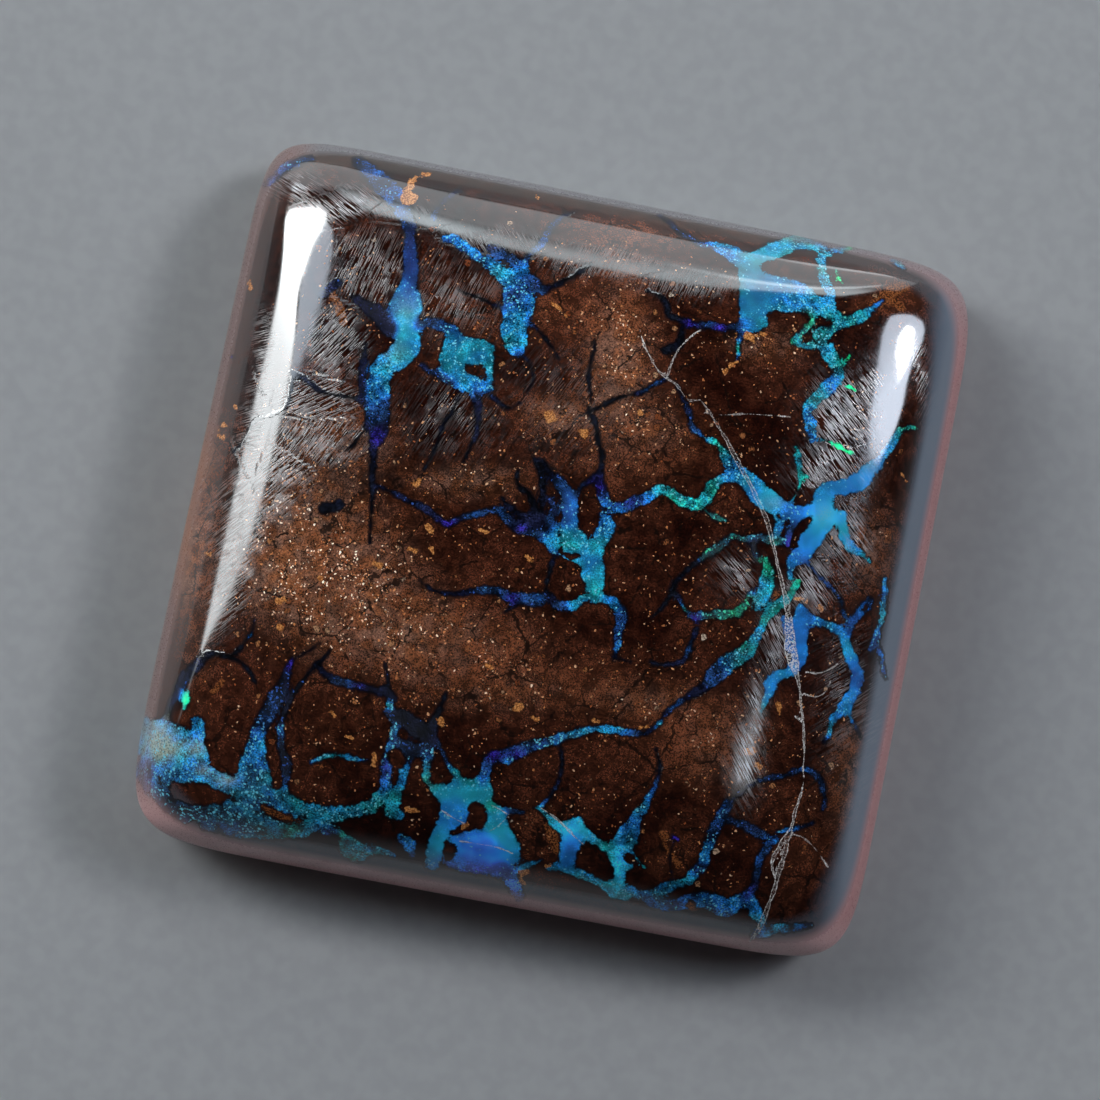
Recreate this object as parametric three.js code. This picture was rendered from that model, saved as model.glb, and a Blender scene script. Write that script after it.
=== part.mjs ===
// A boulder opal cabochon: one polished pillow of ironstone, lying on its flat ground back.
// Millimetres, +Z up out of the dome, +X and +Y along the sides of the face, origin under its middle.
import * as THREE from "three";

// Where the lines of the four sides meet, seen from above. The stone was cut by hand, so they
// aren't quite square to each other.
const CORNER_RIGHT_FAR = new THREE.Vector2(14.1, 13.7);
const CORNER_LEFT_FAR = new THREE.Vector2(-13.9, 13.7);
const CORNER_LEFT_NEAR = new THREE.Vector2(-14.1, -13.8);
const CORNER_RIGHT_NEAR = new THREE.Vector2(13.9, -13.5);

// How squarely the outline turns at each corner. It is the power of a superellipse: 2 is an
// ellipse, and a larger one keeps the sides straighter and the corner tighter.
const POWER_RIGHT_FAR = 11.7;
const POWER_LEFT_FAR = 15.0;
const POWER_LEFT_NEAR = 11.2;
const POWER_RIGHT_NEAR = 12.7;
const CROWN_POWER = 2.0;
// How fast the level lines of the dome go from round at the crown to square at the widest line.
const SQUARING = 5.0;

// Heights of the widest line above the back and of the crown above that line.
const GIRDLE_HEIGHT = 1.4;
const DOME_RISE = 5.2;
// The dome's section: a larger power makes a flatter crown and a steeper shoulder.
const DOME_POWER = 2.8;
// The flat back is this much smaller than the widest line, as a share of the half width. Its
// edge stays crisp because the round stretch above it stops short of level.
const BACK_INSET = 0.055;
const EDGE_TURN = THREE.MathUtils.degToRad(62);

const DOME_RINGS = 22;
const EDGE_RINGS = 5;
const SEGMENTS = 112;
// Draws the segments together at the corners, where the outline turns.
const CROWDING = 1.5;

// The section from the middle of the back, round the edge and over the dome. Its x is the level,
// 0 on the axis and 1 at the widest line, and its y is the height.
function section() {
  const points = [new THREE.Vector2(0, 0)];
  const edgeDrop = Math.sin(EDGE_TURN);
  const edgeDepth = 1 - Math.cos(EDGE_TURN);
  for (let ring = EDGE_RINGS; ring > 0; ring -= 1) {
    const turn = (EDGE_TURN * ring) / EDGE_RINGS;
    const level = 1 - (BACK_INSET * (1 - Math.cos(turn))) / edgeDepth;
    points.push(new THREE.Vector2(level, GIRDLE_HEIGHT * (1 - Math.sin(turn) / edgeDrop)));
  }
  for (let ring = DOME_RINGS; ring > 0; ring -= 1) {
    const level = Math.sin((Math.PI / 2) * (ring / DOME_RINGS));
    const rise = DOME_RISE * Math.sqrt(1 - level ** DOME_POWER);
    points.push(new THREE.Vector2(level, GIRDLE_HEIGHT + rise));
  }
  points.push(new THREE.Vector2(0, GIRDLE_HEIGHT + DOME_RISE));
  return points;
}

// Moves an evenly spaced angle towards the nearest diagonal.
function crowded(angle) {
  const octant = Math.PI / 4;
  const whole = Math.floor(angle / octant);
  const share = angle / octant - whole;
  const eased = whole % 2 === 0 ? 1 - (1 - share) ** CROWDING : share ** CROWDING;
  return (whole + eased) * octant;
}

// The power of the corner that an angle points at.
function cornerPower(cos, sin) {
  if (sin >= 0) return cos >= 0 ? POWER_RIGHT_FAR : POWER_LEFT_FAR;
  return cos >= 0 ? POWER_RIGHT_NEAR : POWER_LEFT_NEAR;
}

// The point of a level line at an angle, seen from above.
function planPoint(level, angle) {
  const cos = Math.cos(angle);
  const sin = Math.sin(angle);
  const power = CROWN_POWER + (cornerPower(cos, sin) - CROWN_POWER) * level ** SQUARING;
  const reach = level / (Math.abs(cos) ** power + Math.abs(sin) ** power) ** (1 / power);
  const toRight = (1 + reach * cos) / 2;
  const toFar = (1 + reach * sin) / 2;
  const near = CORNER_LEFT_NEAR.clone().lerp(CORNER_RIGHT_NEAR, toRight);
  const far = CORNER_LEFT_FAR.clone().lerp(CORNER_RIGHT_FAR, toRight);
  return near.lerp(far, toFar);
}

// The section turned once round, then each of its circles drawn out to its level line.
function stoneGeometry() {
  const geometry = new THREE.LatheGeometry(section(), SEGMENTS);
  const position = geometry.getAttribute("position");
  for (let i = 0; i < position.count; i += 1) {
    const level = Math.hypot(position.getX(i), position.getZ(i));
    const turned = Math.atan2(position.getX(i), position.getZ(i));
    const angle = crowded((turned + 2 * Math.PI) % (2 * Math.PI));
    const plan = planPoint(level, angle);
    position.setXYZ(i, plan.x, plan.y, position.getY(i));
  }
  geometry.computeBoundingBox();
  const middle = geometry.boundingBox.getCenter(new THREE.Vector3());
  geometry.translate(-middle.x, -middle.y, 0);
  geometry.computeVertexNormals();
  return geometry;
}

const ironstone = new THREE.MeshStandardMaterial({
  name: "ironstone",
  color: new THREE.Color(0.2, 0.11, 0.075),
  roughness: 0.12,
  metalness: 0,
});

const cabochon = new THREE.Group();
const stone = new THREE.Mesh(stoneGeometry(), ironstone);
stone.name = "opal_cabochon";
cabochon.add(stone);

export default cabochon;
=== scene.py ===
"""A boulder opal cabochon lying on its flat back, seen from almost straight above.

The stone is one fine mesh with the same four corners and the same section as its solid. The opal
veins, cracks and inclusions are drawn over it as routes and patches, in pixels of the photograph,
and are kept on its points as attributes. Other lengths are in millimetres until a mesh, a light, a
texture or the camera is made, and in metres from there.
"""
import math

import bmesh
import bpy
import numpy as np
from mathutils import Matrix, Vector


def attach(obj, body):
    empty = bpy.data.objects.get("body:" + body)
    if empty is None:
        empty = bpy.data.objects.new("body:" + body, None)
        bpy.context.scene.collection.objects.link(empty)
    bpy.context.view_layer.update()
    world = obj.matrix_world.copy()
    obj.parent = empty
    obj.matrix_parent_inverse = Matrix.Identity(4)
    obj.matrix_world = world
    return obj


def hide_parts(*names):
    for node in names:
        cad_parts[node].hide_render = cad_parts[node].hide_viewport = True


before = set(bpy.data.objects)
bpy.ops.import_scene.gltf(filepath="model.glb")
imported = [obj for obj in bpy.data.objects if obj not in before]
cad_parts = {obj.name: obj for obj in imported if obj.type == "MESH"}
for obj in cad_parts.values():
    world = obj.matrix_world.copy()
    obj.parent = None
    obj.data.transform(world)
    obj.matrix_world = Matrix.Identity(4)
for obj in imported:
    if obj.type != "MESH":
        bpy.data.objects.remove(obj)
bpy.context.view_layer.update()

METRES = 0.001

# Where the lines of the four sides meet, seen from above, and how squarely each corner turns.
CORNER_RIGHT_FAR = (14.1, 13.7)
CORNER_LEFT_FAR = (-13.9, 13.7)
CORNER_LEFT_NEAR = (-14.1, -13.8)
CORNER_RIGHT_NEAR = (13.9, -13.5)
POWER_RIGHT_FAR = 11.7
POWER_LEFT_FAR = 15.0
POWER_LEFT_NEAR = 11.2
POWER_RIGHT_NEAR = 12.7
# The level lines are round at the crown, and grow as square as the corners this late.
CROWN_POWER = 2.0
SQUARING = 5.0
# How often the search for a point's level line is halved, and the least distance it works with.
HALVINGS = 40
NEARLY_ZERO = 1e-9

# The section: the widest line, the crown above it, and the round stretch down to the flat back.
GIRDLE_HEIGHT = 1.4
DOME_RISE = 5.2
DOME_POWER = 2.8
BACK_INSET = 0.055
EDGE_TURN = math.radians(62)

# The dome is a square grid out to this level. Rings of the same points carry on from there.
GRID_LEVEL = 0.93
GRID_CELLS = 280
GRID_EASE = 3.0
SHOULDER_RINGS = 8
UNDERSIDE_RINGS = 5

# The camera stands where the outline and corners in the photograph put it: nearly overhead,
# leaning a little towards the near side, with the stone turned in the picture.
LENS = 100.0
SENSOR = 36.0
PHOTO_SIZE = 1100
CAMERA_DISTANCE = 116.3
CAMERA_LEAN = math.radians(5.0)
CAMERA_ROLL = math.radians(11.25)
CAMERA_AIM = (-0.19, -0.08, 1.9)
# Where its view begins and ends, in metres.
CAMERA_CLIP = (0.005, 6.0)
# How much of the stone one pixel of the photograph covers.
MM_PER_PIXEL = 1 / 26.3

# How routes are laid on the stone, in pixels: the gap of a point that no route comes near, the step
# between the points of a curve, how far off a curve is still looked for, and the least width of a
# line. Then how widely veins melt together, how widely their hues blend, and how far out those go.
FAR_OFF = 60.0
ROUTE_STEP = 4.0
ROUTE_REACH = 30.0
LEAST_WIDTH = 0.6
VEIN_MELT = 1.4
HUE_BLEND = 3.0
HUE_REACH = 25.0
# Where two patches of scratches are this nearly equal both fade. Then how much all are strengthened.
SCRATCH_SEAM = 0.12
SCRATCH_BOOST = 1.3

# The hue scale of the veins: 0 is ink, 1 indigo, 2 navy, 3 royal blue, 4 azure, 5 sky blue, 6 cyan,
# 7 teal, 8 sea green and 9 green.
HUES = [
    (0.004, 0.005, 0.009),
    (0.008, 0.010, 0.034),
    (0.009, 0.028, 0.078),
    (0.014, 0.064, 0.235),
    (0.013, 0.150, 0.460),
    (0.014, 0.200, 0.430),
    (0.014, 0.250, 0.370),
    (0.010, 0.240, 0.255),
    (0.012, 0.330, 0.220),
    (0.010, 0.580, 0.180),
]
VIOLET = (0.040, 0.022, 0.330)
MILKY = (0.50, 0.55, 0.42)
# What lies between the flecks where a vein is only flecked, and round the edge of each vein.
DULL_GROUND = (0.032, 0.034, 0.040)
VEIN_OUTLINE = (0.004, 0.0035, 0.006)
SPARK_CYAN = (0.20, 0.74, 0.92)
SPARK_GREEN = (0.09, 0.86, 0.45)
SPARK_BLUE = (0.05, 0.13, 0.48)

# Colours of the stone round the veins. Where there are two, it drifts from one to the other.
IRONSTONE = ((0.0150, 0.0024, 0.0010), (0.0620, 0.0165, 0.0080))
SAND = ((0.410, 0.150, 0.062), (0.380, 0.210, 0.145))
RUST = ((0.060, 0.014, 0.005), (0.360, 0.120, 0.036))
OCHRE = ((0.30, 0.090, 0.020), (0.86, 0.38, 0.12))
PALE_CRACK = ((0.40, 0.34, 0.31), (0.90, 0.87, 0.84))
RUSTY_BROWN = (0.180, 0.056, 0.025)
CRACK_BLACK = (0.006, 0.003, 0.002)
# The grains in the ironstone, from rust through tan to near white.
GRAIN_COLOURS = [(0.22, 0.055, 0.018), (0.46, 0.18, 0.065), (0.56, 0.33, 0.19), (0.85, 0.72, 0.58)]
GRAIN_RING = (0.012, 0.0045, 0.003)
# Scratches painted pale grey, their own dull colour, and near white in the glint patches as a painted
# highlight.
SCRATCH_AND_GLINT_TONES = ((0.46, 0.42, 0.42), (0.84, 0.88, 0.96))

# The two bands round the rim. The upper one is painted reflection of the floor and the horizon. The
# lower one is the matt ground band, its own tone painted lighter as reflection of the floor. Each
# starts to show at the first height and is full at the second. Each side's own colour starts and is
# full that far from the middle. The left side's colours are for plain and for sandy stone.
PAINTED_REFLECTION_BAND = (3.85, 3.55)
RIGHT_PAINTED_REFLECTION_BAND = (4.25, 3.75)
GROUND_BAND = (3.35, 2.80)
LEFT_SIDE = (-11.6, -12.9)
RIGHT_SIDE = (11.6, 12.9)
NEAR_SIDE = (-11.2, -13.2)
PAINTED_REFLECTION_FAR = (0.080, 0.062, 0.050)
PAINTED_REFLECTION_BLUE = (0.110, 0.135, 0.170)
PAINTED_REFLECTION_RIGHT = (0.150, 0.185, 0.240)
PAINTED_REFLECTION_LEFT = ((0.095, 0.058, 0.050), (0.250, 0.110, 0.060))
# The ground band's tones are partly its own matt colour and partly painted reflection. The near one is
# painted brightest: painted light and reflection over the shaded near side.
GROUND_FAR = (0.200, 0.190, 0.200)
GROUND_PINK = (0.520, 0.215, 0.200)
GROUND_LEFT = ((0.220, 0.135, 0.125), (0.330, 0.130, 0.062))
GROUND_NEAR_PAINTED_LIGHT = (0.850, 0.460, 0.450)
# The far side's colours give way to the pink ones between these distances towards the near side,
# along a line that leans this much.
PINK_FROM = (-12.5, -6.0)
PINK_LEAN = 0.25

# Specks and grains: how wide their cells are, how large a coarse grain is in its cell, and the
# heights between which they come in above the rim.
SPECK_CELL = 0.095
GRAIN_CELL = 0.40
GRAIN_SIZE = 0.31
SPECKS_FROM = (4.2, 5.2)
# How wide the cells of the fine cracks are.
CRACK_CELL = 2.1
# How far a drawn line may reach past its edge, so that it doesn't show again far off.
LINE_GUARD = 0.055
# The noises: the size of the one that pushes the grains about and how far it does, the size of the
# grit, and how far the ragged one moves an edge. The scales are waves in a metre.
STIR_SIZE = 0.16
STIR_PUSH = 0.14
GRIT_SIZE = 0.060
RAGGED_DEPTH = 0.095
RAGGED_SCALE = 2400.0
DRIFT_SCALE = 1300.0
CLOUD_SCALE = 300.0
# How many scratches lie in a metre across them, and how wide one is as a share of its length.
SCRATCH_SCALE = 21000.0
SCRATCH_STRETCH = 0.055
# The polish: its refractive index, which sets how strongly it mirrors, and how deep its scratches are.
STONE_IOR = 2.1
BUMP_DEPTH = 0.0022

# The surroundings. The ceiling's dark is full this share of the way up. The floor's radius, and the
# distances between which it fades into the horizon, are in metres.
BLACK = (0.0, 0.0, 0.0)
HORIZON = (0.140, 0.145, 0.155)
CEILING = (0.006, 0.006, 0.007)
CEILING_FROM = 0.35
FLOOR_TONES = ((0.350, 0.352, 0.357), (0.375, 0.377, 0.382))
FLOOR_GRAIN_SCALE = 1400.0
FLOOR_RADIUS = 3.0
FLOOR_FADE = (0.12, 0.28)

# Veins and cracks, read off the photograph. A point of a route is x, y and the width of the
# vein in the photograph's pixels, then its hue. The first number of a route is how much it glitters.
FAR_LEFT_ROUTES = {
    "haze": (0.4, [(358, 162, 12, 2), (385, 186, 22, 2.6), (400, 204, 18, 2.6), (410, 228, 13, 2)]),
    "streak": (0.5, [(265, 185, 7, 2), (290, 165, 11, 3), (310, 158, 6, 2)]),
    "trunk": (0.8, [(410, 228, 11, 2), (410, 250, 15, 2.2), (411, 270, 16, 2.3), (408, 288, 18, 3.4),
        (406, 305, 34, 5), (405, 322, 23, 6), (407, 343, 28, 6), (397, 358, 24, 6), (383, 366, 23, 5),
        (378, 385, 25, 4.5), (374, 400, 20, 4), (372, 418, 13, 2), (374, 437, 11, 1), (373, 455, 8, 0.5),
        (372, 480, 6, 0), (372, 500, 4, 0), (371, 520, 3, 0), (370, 542, 2, 0)]),
    "trunk shade": (0.4, [(386, 400, 8, 2), (384, 425, 12, 1), (379, 440, 8, 1)]),
    "left shade": (0.3, [(366, 345, 4, 0), (362, 370, 8, 0.5), (363, 395, 7, 0.5)]),
    "side crack": (0.2, [(368, 425, 5, 0), (360, 435, 4, 0), (352, 447, 4, 0), (346, 450, 2, 0)]),
    "left crack": (0.3, [(290, 372, 2, 0), (305, 378, 4, 0.5), (318, 390, 5, 0.5), (335, 395, 4, 0),
        (355, 398, 4, 0), (366, 402, 5, 0)]),
    "lower left crack": (0.2, [(293, 375, 3, 0), (290, 395, 2.5, 0), (285, 408, 2.5, 0), (270, 416, 2, 0),
        (255, 420, 2, 0), (248, 432, 2.5, 0), (240, 445, 2, 0), (232, 452, 1.5, 0)]),
    "violet dot": (0.5, [(232, 357, 2.4, 1), (234, 357, 2.4, 1)]),
    # The left pit is painted dark: its own dark colour and the shade in a hollow the mesh doesn't have.
    "left pit and shade": (0.0, [(325, 509, 13, 0), (338, 505, 11, 0)]),
    "plum": (0.5, [(352, 296, 5, 0.2), (364, 304, 11, 0.4), (378, 315, 18, 0.6), (390, 328, 18, 0.8)]),
    "violet patch": (0.3, [(322, 294, 8, 1), (338, 282, 10, 1)]),
    "upper link": (0.6, [(418, 326, 12, 3), (430, 322, 11, 2), (445, 327, 12, 3), (456, 334, 13, 4)]),
    "lower link": (0.5, [(422, 365, 5, 1), (432, 372, 6, 1.5), (444, 378, 7, 2), (456, 384, 8, 3),
        (467, 389, 8, 4)]),
    "knot": (0.9, [(453, 341, 17, 5), (464, 350, 28, 6), (476, 352, 27, 6), (485, 351, 20, 5.5)]),
    "knot left": (0.9, [(452, 350, 22, 6), (452, 364, 24, 6), (460, 375, 20, 5.5), (472, 383, 14, 5.5),
        (490, 389, 9, 5)]),
    "knot right": (0.8, [(488, 350, 9, 5.5), (490, 362, 9, 5.5), (490, 375, 8, 5), (488, 386, 8, 5)]),
    "knot tail": (0.5, [(475, 388, 9, 3), (477, 402, 9, 1), (478, 420, 8, 0.5), (476, 435, 5, 0.5),
        (470, 448, 3, 0), (463, 462, 2, 0)]),
    "knot crack": (0.2, [(459, 396, 3, 0), (452, 412, 4, 0), (445, 421, 3.5, 0), (440, 433, 3.5, 0),
        (436, 447, 3, 0), (431, 458, 3, 0), (424, 470, 1.5, 0)]),
    "knot feeler": (0.2, [(489, 395, 3, 0), (500, 403, 3, 0), (509, 408, 3, 0), (520, 403, 2, 0)]),
    "loop": (0.2, [(520, 352, 2, 0), (530, 365, 2.2, 0), (533, 380, 2, 0), (527, 392, 1.5, 0)]),
}
FAR_MIDDLE_ROUTES = {
    "dull arc": (0.2, [(433, 218, 6, 2), (440, 205, 5, 1), (450, 196, 5, 1), (459, 190, 3, 0)]),
    "trunk": (0.9, [(445, 239, 8, 4), (455, 240, 10, 4), (463, 247, 12, 4), (472, 253, 10, 4),
        (488, 263, 12, 4.5), (500, 272, 15, 5), (510, 281, 20, 4.5), (517, 291, 28, 3.5), (519, 303, 33, 4),
        (516, 316, 28, 5), (515, 333, 27, 6), (516, 345, 20, 5.5), (518, 354, 8, 4)]),
    "haze": (0.35, [(490, 247, 9, 1), (503, 254, 13, 2), (516, 262, 9, 2)]),
    "bead": (0.9, [(521, 263, 9, 4), (524, 268, 11, 4.5)]),
    "thread": (0.35, [(523, 266, 8, 3), (528, 258, 6, 2), (533, 250, 6, 2), (542, 243, 8, 2.5),
        (548, 232, 7, 2), (556, 222, 5, 2), (565, 215, 4, 1), (577, 211, 2, 0)]),
    "right arm": (0.4, [(519, 270, 10, 3), (530, 280, 13, 2), (541, 288, 12, 2), (552, 287, 6, 0.5),
        (562, 282, 5, 0), (573, 276, 5, 0), (583, 270, 4, 0), (591, 265, 3, 0)]),
    "left crack": (0.2, [(458, 290, 2, 0), (475, 296, 3, 0), (490, 303, 3, 0), (504, 308, 4, 1)]),
    "foot crack": (0.2, [(530, 322, 4, 1), (545, 338, 3, 0), (555, 352, 2.5, 0), (559, 359, 1.5, 0)]),
    "long crack": (0.2, [(595, 335, 1.5, 0), (594, 350, 2.5, 0), (590, 365, 3, 0), (588, 380, 3, 0),
        (591, 395, 2.5, 0), (589, 411, 3, 0), (596, 424, 5, 0), (598, 440, 5, 0), (602, 452, 5, 0),
        (602, 464, 4, 0), (599, 476, 6, 1)]),
    "steel branch": (0.3, [(590, 411, 4, 0), (600, 407, 5, 0), (612, 401, 4, 0), (625, 396, 4, 0),
        (640, 393, 5, 1), (650, 387, 5, 2), (658, 383, 4, 2), (668, 378, 3, 1)]),
    "upper crack": (0.2, [(648, 291, 3, 0), (660, 296, 4, 0), (667, 305, 5, 0), (668, 315, 4, 0),
        (678, 319, 5, 0), (688, 322, 5, 0.5)]),
    "dark patch": (0.15, [(682, 328, 5, 0), (679, 345, 9, 0), (665, 350, 7, 0)]),
    "feeder": (0.7, [(677, 385, 2, 0), (684, 400, 5, 1), (689, 414, 6, 1.5), (692, 425, 6, 2),
        (698, 433, 5, 3), (706, 438, 5, 5), (712, 441, 6, 7), (719, 446, 7, 7), (724, 453, 10, 5.5),
        (729, 462, 13, 5), (737, 471, 15, 5), (747, 480, 17, 5)]),
}
FAR_RIGHT_ROUTES = {
    "start": (0.5, [(660, 216, 3, 1), (668, 222, 4, 1), (680, 232, 5, 2), (690, 238, 5, 2), (703, 245, 6, 3),
        (720, 248, 12, 5), (735, 256, 17, 5.5), (748, 266, 24, 6), (751, 280, 24, 6), (753, 294, 26, 5.5),
        (752, 306, 28, 5.2), (755, 318, 28, 5.2), (744, 328, 15, 3.5), (740, 338, 6, 2), (738, 348, 5, 7),
        (737, 361, 3, 1)]),
    "top": (0.8, [(752, 260, 15, 6), (768, 253, 18, 6.2), (780, 248, 18, 6.3), (795, 243, 16, 6.3),
        (808, 244, 14, 6), (821, 248, 8, 5.5), (833, 251, 7, 5.5), (843, 249, 7, 6), (850, 249, 4, 9)]),
    "middle": (0.8, [(757, 292, 36, 5.4), (770, 293, 36, 5.4), (785, 295, 34, 5.2), (800, 298, 28, 5.2),
        (814, 304, 20, 5.8), (826, 311, 13, 6)]),
    "column": (0.7, [(821, 253, 10, 5.5), (821, 268, 11, 6), (825, 281, 11, 6), (830, 292, 10, 6),
        (829, 304, 12, 6)]),
    "specks": (0.5, [(835, 268, 3, 8), (838, 276, 4, 9), (843, 283, 3, 8)]),
    "band": (0.5, [(682, 322, 4, 0.5), (695, 325, 7, 1), (710, 326, 8, 2), (725, 328, 7, 1),
        (742, 326, 9, 2)]),
    "beads": (0.6, [(806, 310, 7, 7), (813, 318, 6, 8), (809, 326, 6, 8), (802, 333, 7, 7), (794, 341, 8, 8),
        (800, 344, 7, 7), (812, 346, 6, 7)]),
    "right": (0.8, [(822, 310, 12, 7), (833, 315, 13, 7), (845, 321, 13, 7), (858, 318, 11, 7),
        (868, 312, 9, 6), (876, 306, 5, 4), (883, 300, 3, 2)]),
    "node": (0.9, [(845, 322, 10, 7), (832, 328, 13, 7), (821, 336, 17, 6), (828, 351, 15, 6),
        (835, 362, 14, 6.5), (839, 372, 13, 6), (832, 384, 15, 4), (822, 393, 15, 6), (813, 402, 15, 6.5),
        (808, 413, 11, 5), (811, 427, 12, 5), (812, 439, 9, 4)]),
    "side": (0.6, [(850, 355, 4, 8), (840, 367, 6, 8)]),
    "tip": (0.6, [(893, 260, 5, 5), (900, 264, 6, 6), (904, 269, 4, 5)]),
    "green dash": (0.8, [(844, 386, 3, 9), (850, 387, 6, 9), (856, 390, 3, 9)]),
    "green thread": (0.8, [(822, 440, 2.5, 7), (832, 443, 3, 8), (839, 447, 6, 9), (844, 450, 3, 9),
        (849, 452, 5, 9), (856, 455, 2, 8)]),
    "dull drop": (0.45, [(797, 448, 6, 7), (798, 460, 8, 7), (800, 471, 6, 7.5), (800, 482, 4, 7),
        (797, 493, 3, 7), (791, 502, 3, 6)]),
    "green bead": (0.7, [(805, 476, 5, 8), (809, 478, 4, 8)]),
}
MIDDLE_ROUTES = {
    "left thread": (0.45, [(376, 485, 3, 1), (385, 489, 4, 1), (400, 496, 5, 1.5), (412, 503, 6, 1.5),
        (425, 508, 7, 1), (434, 515, 7, 1), (441, 521, 7, 1), (448, 524, 8, 1), (456, 520, 6, 1.5),
        (466, 516, 6, 1.5), (479, 513, 6, 2), (490, 510, 7, 2), (500, 512, 8, 2), (509, 520, 11, 1.2),
        (518, 527, 13, 1), (530, 531, 12, 2), (541, 536, 10, 3.5)]),
    "spike one": (0.2, [(502, 498, 3, 0), (508, 506, 5, 0), (516, 512, 7, 0), (526, 518, 8, 0.6),
        (536, 527, 9, 1)]),
    "spike two": (0.25, [(518, 471, 3, 0), (517, 480, 4, 0), (521, 488, 5, 0), (528, 493, 7, 0),
        (533, 503, 8, 0), (536, 515, 8, 0.5), (541, 530, 10, 2)]),
    "spike three": (0.2, [(535, 460, 4, 0), (541, 472, 7, 0), (543, 486, 7, 0), (543, 498, 6, 0),
        (541, 510, 5, 0), (542, 522, 6, 0.5)]),
    "spike four": (0.7, [(543, 462, 5, 0), (551, 474, 9, 0.5), (559, 483, 12, 2), (565, 492, 15, 2.6),
        (570, 504, 17, 3), (570, 520, 17, 3.5), (570, 533, 22, 5), (573, 544, 30, 6), (584, 552, 24, 6),
        (592, 564, 24, 5.5), (594, 578, 23, 5.5), (594, 590, 16, 6), (595, 598, 10, 6)]),
    "spike five": (0.35, [(551, 500, 7, 1), (553, 512, 8, 2), (550, 521, 9, 2.5), (553, 532, 12, 4)]),
    "left arm": (0.9, [(542, 533, 8, 4.5), (549, 541, 12, 5.5), (558, 549, 14, 6), (566, 550, 12, 6)]),
    "right arm": (0.75, [(603, 516, 9, 3), (607, 527, 17, 3.5), (602, 537, 18, 4.5), (598, 548, 14, 6),
        (592, 556, 12, 6)]),
    "crack hook": (0.3, [(599, 476, 7, 0.5), (591, 480, 7, 1), (583, 485, 5, 1), (578, 494, 4, 1)]),
    "foot crack": (0.2, [(557, 552, 3, 0), (552, 563, 4, 0), (549, 575, 3, 0), (546, 590, 4, 0)]),
    "low thread": (0.5, [(420, 581, 1.5, 0), (428, 587, 3, 0), (438, 592, 4, 0.5), (450, 594, 5, 0.5),
        (462, 593, 6, 1), (475, 591, 7, 2), (487, 590, 9, 2.5), (498, 592, 10, 2), (510, 597, 11, 2),
        (520, 599, 12, 2), (530, 600, 13, 2.5), (540, 599, 12, 3), (549, 596, 9, 0.5), (555, 604, 9, 1.5),
        (566, 607, 10, 2.5), (575, 604, 9, 6), (583, 598, 8, 6), (592, 597, 9, 6), (603, 598, 9, 5),
        (611, 601, 10, 4), (618, 607, 12, 4.5), (622, 615, 13, 2.5), (621, 624, 10, 2.5), (618, 634, 9, 3),
        (618, 644, 8, 3), (616, 652, 6, 3), (614, 659, 3, 0)]),
    "low thread crack": (0.2, [(542, 603, 5, 0), (527, 604, 3, 0), (515, 606, 3, 0), (505, 612, 2, 0)]),
    "tail crack": (0.15, [(614, 657, 2, 0), (622, 660, 2.4, 0), (631, 662, 1.5, 0)]),
    "middle bow": (0.85, [(598, 478, 8, 1), (601, 490, 11, 1.5), (606, 502, 12, 3.5), (614, 508, 11, 4),
        (625, 507, 11, 3.5), (635, 502, 12, 2.8), (645, 497, 12, 3.5), (655, 492, 12, 5), (663, 489, 9, 6),
        (671, 493, 10, 7), (681, 500, 11, 7), (692, 504, 13, 7.2), (702, 503, 13, 7.2), (709, 493, 13, 7),
        (714, 484, 12, 7), (722, 479, 9, 5.5), (732, 478, 9, 5), (745, 482, 12, 5)]),
    "junction": (1.0, [(748, 481, 18, 5), (757, 491, 22, 5), (766, 499, 22, 5.5), (776, 506, 20, 5.5),
        (787, 511, 17, 4.5), (799, 514, 17, 4), (811, 513, 18, 4.5), (823, 515, 29, 5.7)]),
    "body": (1.0, [(823, 517, 27, 5.7), (815, 532, 25, 5), (808, 543, 22, 4.6), (803, 555, 15, 4.3),
        (796, 553, 9, 4.5), (792, 563, 11, 4.5), (790, 576, 6, 5)]),
    "neck": (1.0, [(822, 502, 20, 5.5), (827, 490, 18, 5), (840, 488, 16, 4.2), (851, 485, 18, 4.2),
        (862, 479, 19, 4.5), (872, 469, 15, 4.8), (881, 459, 10, 5), (889, 448, 9, 5), (895, 438, 9, 6),
        (899, 430, 6, 7), (908, 428, 6, 8), (917, 428, 4, 8)]),
    "body shade": (0.5, [(800, 516, 8, 3), (793, 526, 9, 2), (790, 536, 8, 2), (788, 544, 7, 1)]),
    "body edge": (0.6, [(783, 513, 12, 4.5), (779, 525, 10, 5), (777, 534, 8, 5)]),
    "right leg": (0.7, [(842, 514, 11, 5), (843, 528, 12, 6), (846, 540, 11, 5.5), (853, 549, 9, 5),
        (862, 555, 6, 5.5), (869, 561, 3, 6)]),
    "outer thread": (0.4, [(800, 556, 6, 3), (810, 566, 5, 2), (820, 577, 5, 2), (830, 587, 4, 2),
        (838, 595, 4, 2), (842, 605, 4, 2), (845, 616, 5, 3), (851, 623, 5, 3)]),
}
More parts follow.
